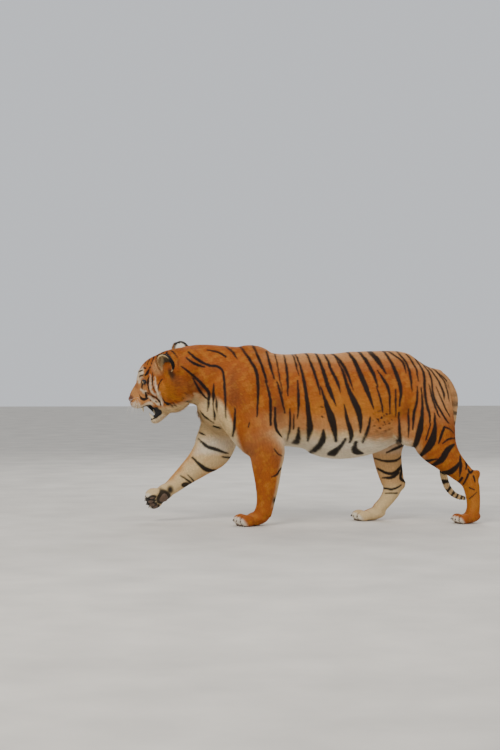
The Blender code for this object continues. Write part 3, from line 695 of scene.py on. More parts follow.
def paw_places():
    """From each paw's own frame to the world, with its length, width and height."""
    places = {}
    for name, ((x, y), turn, *size) in STANDING_PAWS.items():
        matrix = Matrix.Translation((x, y, 0)) @ Matrix.Rotation(math.radians(turn), 4, "Z")
        places[name] = (np.array(matrix), *size)
    middle, *size = LIFTED_PAW
    turned = Euler([math.radians(a) for a in LIFTED_PAW_TURN]).to_matrix().to_4x4()
    matrix = Matrix.Translation(middle) @ turned @ Matrix.Translation((0, 0, -size[2] / 2))
    places[LIFTED] = (np.array(matrix), *size)
    return places


PAWS = paw_places()


def head_matrix():
    """From the head's own frame to the world."""
    turn = Matrix.Rotation(math.radians(-HEAD_YAW), 4, "Z")
    turn = turn @ Matrix.Rotation(math.radians(-HEAD_PITCH), 4, "Y")
    turn = turn @ Matrix.Rotation(math.radians(HEAD_ROLL), 4, "X")
    return Matrix.Translation(HEAD_ORIGIN) @ turn


HEAD = np.array(head_matrix())
TURNED = HEAD[:3, :3]         # the head's turn by itself


def in_head(points):
    """Points of the world in the head's own frame."""
    return (points - HEAD[:3, 3]) @ TURNED


def folded(local):
    """Points of the head's frame as x, y and z, with the left half folded onto the right one."""
    return local[:, 0], np.abs(local[:, 1]), local[:, 2]


def out_of_head(points):
    """Points of the head's own frame in the world."""
    return np.asarray(points) @ TURNED.T + HEAD[:3, 3]


def add_body(bm):
    """The masses of the trunk, neck, tail, legs and paws."""
    for stations in (TRUNK, NECK, TAIL, *LEGS.values()):
        add_loft(bm, stations)
    for centre, radii, turn in MUSCLES:
        add_ball(bm, centre, radii, (0, turn, 0))
    for matrix, *size in PAWS.values():
        add_paw(bm, Matrix(matrix.tolist()), *size)


def add_head(bm):
    """The masses of the head, in its own frame."""
    for stations in (SKULL, NOSE_BRIDGE, LOWER_JAW):
        add_loft(bm, stations)
    for (x, y, z), radii, turn in HEAD_FORMS:
        for side in (-1, 1):
            add_ball(bm, (x, side * y, z), radii, (0, turn, 0))
    add_ball(bm, *CHIN)
    add_ball(bm, *NAPE)


def ramp(value, low, high):
    """0 at low and 1 at high, with a smooth rise between; low may be the larger."""
    share = np.clip((value - low) / (high - low), 0.0, 1.0)
    return share * share * (3.0 - 2.0 * share)


def unit(vectors):
    """Rows scaled to length one."""
    return vectors / np.maximum(np.linalg.norm(vectors, axis=-1, keepdims=True), 1e-9)


def waves(points, pitch, seed):
    """Smooth noise from -1 to 1 that changes over about the pitch."""
    turns = np.random.default_rng(seed)
    total = np.zeros(len(points))
    for _ in range(5):
        direction = unit(turns.normal(size=3))
        pace = (6.28 / pitch) * turns.uniform(0.6, 1.5)
        total += np.sin(points @ direction * pace + turns.uniform(0, 6.28))
    return total / 3.0


def link(name, data):
    """A new object of some data, in the scene."""
    obj = bpy.data.objects.new(name, data)
    bpy.context.scene.collection.objects.link(obj)
    return obj


def mesh_from(name, bm):
    """A mesh made of a bmesh, which it uses up."""
    mesh = bpy.data.meshes.new(name)
    bm.to_mesh(mesh)
    bm.free()
    return mesh


def values_of(items, name, width, kind=np.float32):
    """One property of every item of a mesh, a row for each."""
    out = np.empty(width * len(items), dtype=kind)
    items.foreach_get(name, out)
    return out.reshape(-1, width)


def corners_of(mesh):
    """The places of a mesh's vertices."""
    return values_of(mesh.vertices, "co", 3).astype(float)


def triangles_of(mesh):
    """The vertices of each triangle, and its three loops."""
    mesh.calc_loop_triangles()
    return [values_of(mesh.loop_triangles, name, 3, np.int32) for name in ("vertices", "loops")]


def edges_of(mesh):
    """The two vertices of each edge."""
    return values_of(mesh.edges, "vertices", 2, np.int32)


def normals_of(points, triangles):
    """A normal for each point, from the triangles around it."""
    a, b, c = (points[triangles[:, i]] for i in range(3))
    facing = np.cross(b - a, c - a)
    out = np.zeros_like(points)
    for i in range(3):
        for axis in range(3):
            out[:, axis] += np.bincount(triangles[:, i], facing[:, axis], len(points))
    return unit(out)


def areas_of(points, triangles):
    """The area of each triangle."""
    a, b, c = (points[triangles[:, i]] for i in range(3))
    return np.linalg.norm(np.cross(b - a, c - a), axis=1) / 2


def set_corners(mesh, points):
    """Moves a mesh's vertices."""
    mesh.vertices.foreach_set("co", points.astype(np.float32).ravel())
    mesh.update()


def eased(values, edges, rounds):
    """Values at the points, each drawn halfway to its neighbours' mean, again and again."""
    flat = values.reshape(len(values), -1)
    count = np.bincount(edges.ravel(), minlength=len(flat))[:, None]
    for _ in range(rounds):
        total = np.empty_like(flat)
        for i in range(flat.shape[1]):
            total[:, i] = (np.bincount(edges[:, 0], flat[edges[:, 1], i], len(flat))
                           + np.bincount(edges[:, 1], flat[edges[:, 0], i], len(flat)))
        flat = flat + 0.5 * (total / count - flat)
    return flat.reshape(values.shape)


def add_guide(guides, stations, region, backwards=False):
    """Adds the middle line of a loft to the guides that the coat's lie follows."""
    rows = catmull_rom(stations, 3)
    lie = unit(np.gradient(rows[:, :3], axis=0)) * (-1 if backwards else 1)
    radius = (rows[:, 3] + rows[:, 4]) / 2
    guides.append((rows[:, :3], lie, radius, np.full(len(rows), region)))


def paw_guide(toes, lie, width):
    """A guide along a paw's toes, all of it with one lie."""
    return (np.array(toes), unit(np.tile(lie, (len(toes), 1))), np.full(len(toes), 0.4 * width),
            np.full(len(toes), ON_PAW))


def lie_guides():
    """Middles, directions, radii and regions along the whole body, from nose to tail and down the legs."""
    guides = []
    add_guide(guides, TRUNK, ON_TRUNK)
    add_guide(guides, NECK, ON_NECK, backwards=True)
    add_guide(guides, TAIL, ON_TAIL)
    for region, stations in enumerate(LEGS.values(), ON_FORE_LEFT):
        add_guide(guides, stations[2:], region)
    for (x, y), _, length, width, height in STANDING_PAWS.values():
        toes = [(x + share * length, y, 0.45 * height) for share in TOE_LINE]
        guides.append(paw_guide(toes, (-1.0, 0.0, -0.15), width))
    middle, length, width, _ = LIFTED_PAW
    turned = np.array(Euler([math.radians(a) for a in LIFTED_PAW_TURN]).to_matrix())
    toes = [np.array(middle) + turned @ (share * length, 0, 0) for share in TOE_LINE]
    guides.append(paw_guide(toes, turned @ (-1.0, 0.0, 0.0), width))
    return [np.concatenate(part) for part in zip(*guides)]


def near_guides(points):
    """How much each point belongs to each region, and the lie of the coat there."""
    middles, lies, radii, regions = lie_guides()
    share = np.zeros((len(points), REGIONS))
    lie = np.zeros((len(points), 3))
    for start in range(0, len(points), AT_ONCE):
        some = slice(start, start + AT_ONCE)
        gaps = np.linalg.norm(points[some, None, :] - middles[None], axis=2) / radii
        weight = np.exp(-GUIDE_FALL * (gaps - gaps.min(axis=1, keepdims=True)))
        weight /= weight.sum(axis=1, keepdims=True)
        lie[some] = weight @ lies
        for region in range(REGIONS):
            share[some, region] = weight[:, regions == region].sum(axis=1)
    return share, lie


def parts_of(share):
    """How much each point belongs to the trunk, legs, paws and tail, by name."""
    legs = share[:, ON_FORE_LEFT:ON_HIND_RIGHT + 1].sum(axis=1)
    paw = share[:, ON_PAW]
    tail = share[:, ON_TAIL]
    fore_left, fore_right, hind_left, hind_right = share[:, ON_FORE_LEFT:ON_HIND_RIGHT + 1].T
    return SimpleNamespace(
        body=np.clip(1.0 - legs - paw - tail, 0.0, 1.0), legs=legs, paw=paw, tail=tail,
        fore=fore_left + fore_right, hind=hind_left + hind_right, fore_left=fore_left,
        fore_right=fore_right, hind_left=hind_left, hind_right=hind_right)


def head_share(points):
    """1 on the head and 0 from the nape back."""
    local = in_head(points)
    reach = np.linalg.norm(local - (-0.06, 0.0, -0.02), axis=1)
    return ramp(local[:, 0], 0.105, 0.045) * ramp(reach, 0.30, 0.26) * ramp(local[:, 2], -0.27, -0.23)


def mixed(colours, other, share):
    """Colours drawn towards another by a share for each point."""
    return colours + share[:, None] * (np.asarray(other) - colours)


def layered(colours, layers):
    """Colours with others laid over them in turn, each by a share for each point."""
    for other, share in layers:
        colours = mixed(colours, other, share)
    return colours


def along(flat, stripes, soft, swell=STRIPE_SWELL):
    """How dark the stripes make each point of a flat drawing, from 0 to 1."""
    dark = np.zeros(len(flat))
    for stripe in stripes:
        rows = catmull_rom(stripe, 4)
        reach = rows[:, 2].max() * swell + 0.01
        near = np.flatnonzero(((flat > rows[:, :2].min(axis=0) - reach)
                               & (flat < rows[:, :2].max(axis=0) + reach)).all(axis=1))
        if not len(near):
            continue
        best = np.full(len(near), -1.0)
        for a, b in zip(rows, rows[1:]):
            run = b[:2] - a[:2]
            share = np.clip((flat[near] - a[:2]) @ run / max(run @ run, 1e-12), 0.0, 1.0)
            gap = np.linalg.norm(flat[near] - a[:2] - share[:, None] * run, axis=1)
            best = np.maximum(best, swell * (a[2] + share * (b[2] - a[2])) - gap)
        dark[near] = np.maximum(dark[near], ramp(best, -soft, soft))
    return dark


def spot(x, z, middle, size):
    """1 at the middle of a soft oval patch of a flat drawing and 0 outside it."""
    gap = np.hypot((x - middle[0]) / size[0], (z - middle[1]) / size[1])
    return ramp(gap, 1.0, 0.25)


def in_paw(points, name):
    """Points of the world in a paw's frame, as shares of its length, width and height."""
    matrix, *size = PAWS[name]
    return (points - matrix[:3, 3]) @ matrix[:3, :3] / size


def out_of_paw(points, name):
    """Points of a paw's frame, in metres, in the world."""
    matrix = PAWS[name][0]
    return points @ matrix[:3, :3].T + matrix[:3, 3]


def near_paw(points, name):
    """Points of the world in a paw's frame, as shares of its size, and which of them are near it."""
    u, v, w = in_paw(points, name).T
    return u, v, w, (np.abs(u) < 0.75) * (np.abs(v) < 0.75) * (np.abs(w - 0.5) < 0.9)


def pad_share(points):
    """1 where the soles' pads are."""
    out = np.zeros(len(points))
    for name in PAWS:
        u, v, w = in_paw(points, name).T
        under = ramp(w, 0.34, 0.22) * (np.abs(u) < 0.6) * (np.abs(v) < 0.6)
        for x, y, long, wide in PADS:
            out = np.maximum(out, under * ramp(np.hypot((u - x) / long, (v - y) / wide), 1.12, 0.98))
    return out


def eye_place(side, turn):
    """An eye's centre, outward direction, and the directions along and up its slit, in the head's frame."""
    x, y, z = EYE[0]
    gaze = unit(np.array((-math.cos(turn), side * math.sin(turn), 0.06)))
    up = np.array((-0.10, -side * 0.10, 1.0))
    up = unit(up - gaze * (up @ gaze))
    slit = np.cross(up, gaze) * side
    return np.array((x, side * y, z)), gaze, slit, up


def from_eye(local, side):
    """How far points of the head's frame lie from an eye: along its slit, up, outwards and in all."""
    centre, gaze, slit, up = eye_place(side, LID_TURN)
    away = local - centre
    return away @ slit, away @ up, away @ gaze, np.linalg.norm(away, axis=1)


def pale_parts(points, normals, part, patchy, blot):
    """How pale each point is on the belly, chest, throat and the insides of the legs, from 0 to 1."""
    x, y, z = points.T
    edge = 0.487 - 0.045 * ramp(x, 0.18, 0.40) + 0.010 * patchy + 0.008 * blot
    under = ramp(z, edge + 0.030, edge - 0.035) * ramp(x, -0.36, -0.26) * part.body
    under = np.maximum(under, ramp(normals[:, 2], -0.45, -0.80) * part.body)
    fading = ramp(z, edge + 0.130, edge + 0.020) * ramp(x, -0.36, -0.26) * part.body
    front = np.interp(x, *np.array(CHEST_EDGE).T) + 0.010 * patchy
    chest = ramp(z, front + 0.030, front - 0.030) * ramp(x, -0.31, -0.35) * (1 - part.hind) * (1 - part.paw)
    chest *= 1 - ramp(part.fore_left, 0.3, 0.7) * ramp(x, -0.44, -0.38)
    chest *= 1 - ramp(part.fore_right, 0.2, 0.6) * ramp(normals[:, 1], 0.15, 0.55)
    inner = ramp(np.sign(y) * normals[:, 1], 0.10, -0.40)
    inner *= np.clip(part.legs + part.paw, 0, 1) * ramp(z, 0.66, 0.56)
    back = ramp(normals[:, 0], 0.45, 0.85) * part.fore * ramp(z, 0.50, 0.44) * ramp(z, 0.08, 0.12)
    shin = ramp(normals[:, 0], -0.35, -0.8) * part.hind * ramp(z, 0.30, 0.40)
    raised = part.fore_right * ramp(normals[:, 1], 0.5, 0.0)
    return np.maximum.reduce((under, chest, inner, 0.8 * back, 0.5 * shin, 0.9 * raised)), fading, raised


def ground_colours(points, normals, part):
    """The body's colour between its stripes, with painted shade in its creases and a painted sheen on top of
    the back.
    """
    x, y, z = points.T
    patchy = waves(points, 0.10, 3)
    blot = waves(points, 0.045, 7)
    fine = waves(points, 0.020, 5)
    deep = 0.5 * waves(points, 0.22, 9) + 0.5 * patchy + 0.4 * blot
    # painted shade behind and before the shoulder, where the flank meets the thigh and in the neck's fold
    shade = np.maximum.reduce([dark * spot(x, z, middle, size) for middle, size, dark in PAINTED_SHADE_PLACES])
    # painted sheen: fur that faces up along the top of the back is painted paler tan, as overhead light
    # would make it
    painted_sheen = ramp(normals[:, 2], 0.40, 0.95) * ramp(z, 0.72, 0.86) * (1 - part.tail) * ramp(x, -0.34, -0.10)
    pale, fading, raised = pale_parts(points, normals, part, patchy, blot)
    between_legs = ramp(np.abs(y), 0.12, 0.07) * ramp(z, 0.34, 0.38)
    low = ramp(z, 0.48, 0.41) * np.maximum(part.body, between_legs)
    edges_warm = np.maximum(ramp(normals[:, 2], 0.15, 0.75), 0.7 * ramp(-normals[:, 2], 0.35, 0.85))
    warm = raised * np.clip(edges_warm + 0.2 * blot, 0, 1)
    return layered(ORANGE, (
        (RUST, 0.60 * ramp(deep, -0.2, 1.2) * ramp(z, 0.92, 0.80)),
        (GOLD, 0.50 * ramp(blot + 0.6 * fine - 0.4 * patchy, -0.3, 1.0)),
        (GOLD, 0.55 * spot(x, z, *GOLDEN_FLANK) * part.body),
        # the painted shade darkens the ground towards umber
        (UMBER, 0.50 * shade * (1 - part.paw)),
        (TAN, 0.70 * painted_sheen),
        (TAN, 0.70 * ramp(x, 0.52, 0.72) * ramp(z, 0.48, 0.66) * (1 - part.tail)),
        (GOLD, 0.5 * part.hind * ramp(z, 0.36, 0.12)),
        (TAN, 0.55 * fading),
        (CREAM, pale),
        (WHITE, 0.7 * pale * low),
        (GOLD, 0.75 * warm * ramp(z, 0.16, 0.24)),
        (GOLD, 0.45 * part.hind_right * ramp(z, 0.14, 0.22)),
    ))


def paw_colours(colours, points, normals, paw):
    """The ground colours with white toes, painted shade in the clefts between them and the raised foot's
    dark sole.
    """
    toes = np.zeros(len(points))
    cleft_shade = np.zeros(len(points))
    for name in PAWS:
        u, v, w, near = near_paw(points, name)
        toes = np.maximum(toes, near * ramp(u + 0.30 * w, -0.17, -0.30))
        # painted shade in the clefts between the toes
        for middle in TOE_CLEFTS:
            cleft = ramp(np.abs(v - middle), 0.050, 0.012) * ramp(u, -0.20, -0.30) * ramp(w, 1.0, 0.7)
            cleft_shade = np.maximum(cleft_shade, near * cleft)
    x, y, z = points.T
    u, v, w = in_paw(points, LIFTED).T
    gap = np.min([np.hypot((u - pad[0]) / pad[2], (v - pad[1]) / pad[3]) for pad in PADS], axis=0)
    sole = (x < -0.58) * (y > 0) * ramp(w, 0.62, 0.45) * ramp(gap, 1.75, 1.45)
    sole = np.maximum(sole, (y > 0) * spot(x, z, *DARK_SOLE) * ramp(w, 0.7, 0.5))
    wrist = (x < -0.5) * (y > 0) * ramp(np.hypot((x + 0.625) / 0.024, (z - 0.196) / 0.016), 1.1, 0.8)
    wrist *= ramp(normals[:, 2], 0.3, 0.0) * ramp(normals[:, 1], 0.4, 0.1)
    heel = spot(x, z, *DARK_HEEL) * (y < 0) * ramp(normals[:, 0], 0.2, 0.6)
    return layered(colours, (
        (WHITE, 0.85 * toes * paw),
        (BLACK, 0.80 * cleft_shade * paw),
        (BLACK * 1.6, np.maximum(0.95 * np.maximum(sole, wrist), 0.9 * heel)),
    ))


def body_stripes(points, normals, part, patchy, fine):
    """How dark the stripes of the trunk and legs make each point, from 0 to 1."""
    x, y, z = points.T
    # ragged by the noise, and the right side's are bent
    bend = 0.010 * np.sin(9.0 * x + 1.3) + 0.006 * np.sin(23.0 * x)
    right = (y > 0) * ramp(np.abs(y), 0.02, 0.12)
    drawn_x = x + 0.0012 * fine + right * (bend + 0.012 * np.sin(11.0 * z + 2.0))
    drawn_z = z + 0.0025 * patchy + right * 0.02 * np.sin(7.0 * x)
    flat = np.column_stack((drawn_x, drawn_z))
    shifted = np.column_stack((x + 0.17 * ramp(z, 0.30, 0.50) + 0.02, z + 0.02))
    left = y < 0.0
    on_hind = 1.2 * part.hind * ramp(z, 0.50, 0.56)
    on_fore = 0.9 * part.fore * ramp(z, 0.48, 0.54)
    trunk = np.clip(part.body + on_hind + on_fore, 0.0, 1.0)
    trunk *= np.where(left, 1.0, ramp(part.hind, 0.9, 0.5))
    breast = ramp(x, -0.38, -0.44) * ramp(z, 0.80, 0.72) * ramp(np.abs(normals[:, 1]), 0.45, 0.25)
    below = ramp(normals[:, 2], -0.80, -0.95) * ramp(z, 0.50, 0.45) * ramp(np.abs(y), 0.10, 0.05)
    trunk = ramp(trunk, 0.35, 0.6) * (1 - breast) * (1 - below)
    high_right = part.hind_right * ramp(z, 0.38, 0.42)
    left_thigh = ramp(part.hind_left + part.body * (x > 0.42) * left, 0.3, 0.6)
    fore_inside = ramp(part.fore_right, 0.3, 0.6) * ramp(normals[:, 1], 0.5, 0.1)
    left_inside = ramp(part.fore_left, 0.3, 0.6) * ramp(normals[:, 1], -0.1, 0.5)
    front = [stripe for stripe in TRUNK_STRIPES if stripe[0][0] < REAR_FROM]
    rear = [stripe for stripe in TRUNK_STRIPES if stripe[0][0] >= REAR_FROM]
    drawn = (                 # stripes, the drawing that they are on, their swell, and where they count
        (front, flat, STRIPE_SWELL, trunk),
        (rear, flat, REAR_SWELL, trunk),
        (LEFT_HIND_STRIPES, flat, REAR_SWELL, left_thigh),
        (LEFT_HIND_STRIPES[:6], shifted, REAR_SWELL, high_right),
        (RIGHT_HIND_STRIPES, flat, REAR_SWELL, ramp(part.hind_right, 0.3, 0.6)),
        (RIGHT_FORE_BARS, flat, FORE_SWELL, fore_inside),
        (LEFT_FORE_BARS, flat, FORE_SWELL, left_inside),
        (FORE_TICKS, flat, STRIPE_SWELL, ramp(part.fore_left, 0.3, 0.6)),
    )
    return np.maximum.reduce([along(on, stripes, STRIPE_SOFT, swell) * where
                              for stripes, on, swell, where in drawn])


def body_colours(points, normals, share):
    """The coat's ground colour, stripes, rings and freckles behind the head."""
    x, _, z = points.T
    part = parts_of(share)
    patchy = waves(points, 0.10, 3)
    fine = waves(points, 0.035, 5)
    # the tail's rings and its dark tip
    run = 0.95 - z + 1.3 * ramp(x, 0.756, 0.90) * (z < 0.20) * 0.14
    rings = part.tail * ramp(np.sin(2 * math.pi * run / RING_PITCH + 0.5 * fine), -0.05, 0.30)
    rings *= ramp(z, 0.78, 0.74)
    rings = np.maximum(rings, part.tail * ramp(x, 0.850, 0.862) * (z < 0.2))
    # freckles ahead of the thigh and a few low on the ribs
    speck = waves(points, 0.024, 21) + 0.6 * waves(points, 0.014, 22)
    freckles = ramp(speck, 0.50, 0.70) * spot(x, z, *FLANK_FRECKLES)
    freckles = np.maximum(freckles, ramp(speck, 0.8, 1.0) * spot(x, z, *RIB_FRECKLES))
    dark = np.maximum.reduce((body_stripes(points, normals, part, patchy, fine), rings, freckles))
    colours = layered(ground_colours(points, normals, part), (
        (CREAM, part.tail * ramp(z, 0.82, 0.76) * 0.85),
        (BLACK, dark * (0.97 - 0.20 * ramp(z, 0.86, 0.94))),
    ))
    return paw_colours(colours, points, normals, np.clip(part.paw * 1.5, 0, 1))


def in_mouth(local, facing):
    """1 on the palate and mouth floor, painted shade of the mouth's inside, and on the black edges of the
    lips.
    """
    x, y, z = folded(local)
    within = ramp(y, 0.066, 0.056) * ramp(x, -0.262, -0.250) * ramp(x, -0.075, -0.085)
    palate = ramp(facing[:, 2], -0.35, -0.6) * ramp(z, -0.078, -0.088) * ramp(z, -0.130, -0.120)
    floor = ramp(facing[:, 2], 0.20, 0.45) * ramp(z, -0.118, -0.126)
    line = -0.176 + 0.55 * ramp(x, -0.20, -0.10) * 0.09
    lip = ramp(z, line - 0.004, line + 0.002) * ramp(z, -0.104, -0.112) * ramp(x, -0.222, -0.212)
    lip *= ramp(x, -0.118, -0.132)
    return np.maximum(within * np.maximum(palate, floor * ramp(z, -0.205, -0.195)), lip)


def face_marks(local, facing, fine, patchy):
    """How dark the stripes, whisker dots and eye rims make each point of the head, from 0 to 1."""
    x, y, z = folded(local)
    aside = ramp(np.abs(facing[:, 1]), 0.20, 0.45)
    flat = np.column_stack((x + 0.0018 * fine, z + 0.0018 * patchy))
    side = along(flat, CHEEK_STRIPES, 0.0016, FACE_SWELL) * aside
    above = np.column_stack((x + 0.002 * fine, y + 0.002 * patchy))
    crown = along(above, CROWN_STRIPES, 0.0018, FACE_SWELL)
    crown *= ramp(facing[:, 2] - 0.3 * facing[:, 0], -0.05, 0.15) * ramp(z, 0.045, 0.06)
    dots = ramp(np.sin((z + 0.0380) * 6.28 / 0.012) * np.sin((x - 0.3 * z) * 6.28 / 0.010), 0.55, 0.8)
    dots *= ramp(np.hypot((x + 0.252) / 0.030, (z + 0.058) / 0.024), 1.0, 0.8) * (y > 0.02)
    tear = along(np.column_stack((x, z)), TEAR_LINES, 0.002, 1.0) * (y > 0.025) * (y < 0.09)
    dark = np.maximum.reduce((side, crown, 0.75 * dots, tear))
    for word in (-1, 1):
        across, high, outward, gap = from_eye(local, word)
        ring = np.hypot(across / (LID_WIDTH * 1.55), high / (LID_HEIGHT * 2.10))
        dark = np.maximum(dark, ramp(ring, 1.0, 0.85) * (outward > 0) * (gap < 0.06))
    return dark


def head_colours(points, normals):
    """The coat's colours on the head."""
    local = in_head(points)
    facing = normals @ TURNED
    x, y, z = folded(local)
    fine = waves(local, 0.018, 31)
    patchy = waves(local, 0.05, 33)
    # white above and below the eyes, on the cheeks, lips and chin
    aside = ramp(np.abs(facing[:, 1]), 0.20, 0.45)
    rough = np.column_stack((x + 0.004 * fine, z + 0.006 * patchy))
    white = along(rough, CHEEK_WHITES, 0.008, 1.0) * np.maximum(aside, ramp(x, -0.14, -0.17))
    pads = ramp(np.sqrt(((x + 0.246) / 0.040) ** 2 + ((z + 0.078) / 0.034) ** 2) + 0.12 * fine, 1.0, 0.55)
    chin = ramp(z, -0.150, -0.170) * ramp(x, -0.10, -0.14)
    white = np.clip(np.maximum.reduce((white, 0.8 * pads, 0.7 * chin)), 0, 1)
    round_nose = np.sqrt(((x + 0.272) / 0.042) ** 2 + (y / 0.075) ** 2 + ((z + 0.044) / 0.027) ** 2)
    return layered(ORANGE, (
        (GOLD, 0.6 * ramp(patchy + 0.5 * fine, -0.3, 1.0)),
        (TAN, 0.5 * ramp(x, -0.10, -0.19)),
        # painted shade in the neck's fold behind the cheek
        (RUST, 0.8 * spot(x, z, *NECK_SHADE)),
        (GOLD, 0.6 * spot(x, z, *GOLDEN_CHEEK)),
        (TAN, 0.8 * spot(x, z, *EAR_FLUFF) * ramp(y, 0.035, 0.060)),
        (BLACK * 2.0, 0.85 * spot(x, z, *EAR_FOOT) * ramp(y, 0.07, 0.09)),
        (RUST, 0.5 * spot(x, z, *RUSTY_BRIDGE) * ramp(facing[:, 2], 0.1, 0.5)),
        (CREAM, 0.9 * ramp(z, -0.100, -0.130) * ramp(x, 0.14, 0.08)),
        (0.5 * (WHITE + CREAM), white * 0.88),
        (BLACK, face_marks(local, facing, fine, patchy) * 0.96),
        # the mouth's inside painted near-black as its shade, and the lips' own black edges
        (LIPS_AND_MOUTH_SHADE, in_mouth(local, facing)),
        (NOSE_PINK * 0.70, 0.85 * ramp(round_nose, 1.15, 0.85)),
    ))


def coat_colours(points, normals, share):
    """The colour of the coat at each point of the skin; skin and tufts both take theirs from here."""
    head = head_share(points)
    colours = np.empty((len(points), 3))
    behind = head < 0.999
    colours[behind] = body_colours(points[behind], normals[behind], share[behind])
    ahead = head > 0.001
    face = head_colours(points[ahead], normals[ahead])
    both = np.where(behind[ahead][:, None], colours[ahead], face)
    colours[ahead] = both + head[ahead][:, None] * (face - both)
    return colours


def coat_fields(points, normals, share):
    """Length of the tufts, how far they stand up (radians) and their half width, at each point."""
    local = in_head(points)
    head = head_share(points)
    x, y, z = points.T
    part = parts_of(share)
    paw = np.clip(1.5 * part.paw, 0, 1)
    length = np.full(len(points), 0.0145)
    lift = np.full(len(points), 0.18)
    below = ramp(normals[:, 2], -0.2, -0.8) * ramp(z, 0.34, 0.40)
    length += 0.010 * below
    lift += 0.06 * below
    front = ramp(x, -0.38, -0.48) * ramp(z, 0.72, 0.60) * (1 - part.legs)
    between = ramp(normals[:, 2], 0.0, -0.5) * ramp(x, -0.12, -0.26) * ramp(z, 0.36, 0.40)
    between *= ramp(np.abs(y), 0.12, 0.07)
    length += 0.008 * np.maximum(front, between)
    lift += 0.12 * between
    fringe = ramp(np.hypot((x - 0.36) / 0.12, (z - 0.44) / 0.06), 1.2, 0.5)
    length += 0.012 * fringe
    lift += 0.08 * fringe
    length += part.legs * ramp(z, 0.50, 0.18) * (0.011 - length)
    length += part.tail * (0.015 - length)
    length += paw * (0.007 - length)
    lift += part.tail * (0.22 - lift)
    # the head: shortest at the nose, long in the ruff
    x, y, z = folded(local)
    face = 0.0062 + 0.0065 * ramp(x, -0.24, -0.06)
    before_ear = spot(x, z, *EAR_FLUFF) * ramp(y, 0.035, 0.060)
    ruff = ramp(x, -0.085, -0.02) * ramp(y, 0.040, 0.080) * ramp(z, 0.050, -0.03)
    ruff = np.maximum(ruff, ramp(z, -0.09, -0.12) * ramp(x, -0.10, -0.04))
    chin = ramp(z, -0.165, -0.20) * ramp(x, -0.24, -0.20)
    head_length = face + 0.020 * ruff + 0.008 * chin + 0.006 * ramp(x, 0.0, 0.08) + 0.014 * before_ear
    head_lift = 0.26 + 0.04 * ruff + 0.06 * chin + 0.20 * before_ear
    length += head * (head_length - length)
    lift += head * (head_lift - lift)
    width = 0.00055 + 0.050 * np.clip(length, 0.0, 0.026)
    return length, lift, width


def flesh_object():
    """All the masses fused into one closed skin of even quads."""
    bm = bmesh.new()
    add_head(bm)
    bm.transform(head_matrix())
    add_body(bm)
    bmesh.ops.recalc_face_normals(bm, faces=bm.faces)
    flesh = link("skin", mesh_from("skin", bm))
    remesh = flesh.modifiers.new("fuse", "REMESH")
    remesh.mode = "VOXEL"
    remesh.voxel_size = SKIN_VOXEL
    graph = bpy.context.evaluated_depsgraph_get()
    fused = bpy.data.meshes.new_from_object(flesh.evaluated_get(graph))
    flesh.modifiers.clear()
    flesh.data = fused
    return flesh


def bare(local, points, normals):
    """1 where no hair grows: eyeballs, lids, nose, mouth and pads."""
    out = np.zeros(len(points))
    for side in (-1, 1):
        across, high, outward, gap = from_eye(local, side)
        span = np.hypot(across / (LID_WIDTH * 1.30), high / (LID_HEIGHT * 1.40))
        out = np.maximum(out, (span < 1) & (outward > 0) & (gap < 0.05))
    x, y, z = folded(local)
    leather = np.sqrt(((x + 0.282) / 0.028) ** 2 + (y / 0.037) ** 2 + ((z + 0.044) / 0.024) ** 2)
    out = np.maximum(out, leather < 1.05)
    out = np.maximum(out, in_mouth(local, normals @ TURNED) * (head_share(points) > 0.5))
    return np.maximum(out, pad_share(points)) > 0.5


def finer(obj, wanted):
    """Halves the edges between the wanted vertices."""
    bm = bmesh.new()
    bm.from_mesh(obj.data)
    bm.verts.ensure_lookup_table()
    keep = set(np.flatnonzero(wanted).tolist())
    edges = [e for e in bm.edges if e.verts[0].index in keep and e.verts[1].index in keep]
    bmesh.ops.subdivide_edges(bm, edges=edges, cuts=1, use_grid_fill=True)
    bm.to_mesh(obj.data)
    bm.free()


def sculpted(points, normals):
    """The skin with the eyes' sockets, the clefts of the toes and the loose folds of the body."""
    local = in_head(points)
    for side in (-1, 1):
        across, high, outward, gap = from_eye(local, side)
        span = np.hypot(across / (LID_WIDTH * 1.05), high / (LID_HEIGHT * 1.15))
        inside = ramp(span, 1.35, 1.0) * (outward > 0) * (gap < 0.05)
        pull = inside * np.minimum(EYE[1] - SOCKET_GAP - gap, 0.0)
        local += unit(local - eye_place(side, LID_TURN)[0]) * pull[:, None]
    x, _, z = points.T
    depth = np.zeros(len(points))
    for middle, size, pitch, slope, height in SKIN_FOLDS:
        gap = np.hypot((x - middle[0]) / size[0], (z - middle[1]) / size[1])
        depth += height * np.sin(pitch * (x + slope * z)) * ramp(gap, 1.0, 0.3)
    for name in PAWS:
        u, v, w, near = near_paw(points, name)
        for middle in TOE_CLEFTS:
            cleft = ramp(np.abs(v - middle), 0.085, 0.0) * ramp(u, -0.16, -0.30) * ramp(w, 0.10, 0.25)
            depth -= CLEFT_DEPTH * near * cleft
    return out_of_head(local) + normals * depth[:, None]


def smoothed_flesh():
    """The fused masses, smoothed, and twice as fine on the face."""
    flesh = flesh_object()
    points = corners_of(flesh.data)
    edges = edges_of(flesh.data)
    share, _ = near_guides(points)
    shape_kept = np.maximum(head_share(points), np.clip(2 * share[:, ON_PAW], 0, 1))[:, None]
    smooth = eased(points, edges, SKIN_SMOOTHING)
    smoother = eased(smooth, edges, SKIN_SMOOTHING)
    points = smoother + shape_kept * (smooth - smoother)
    set_corners(flesh.data, points)
    finer(flesh, (head_share(points) > 0.5) & (in_head(points)[:, 0] < FACE_BEHIND))
    return flesh


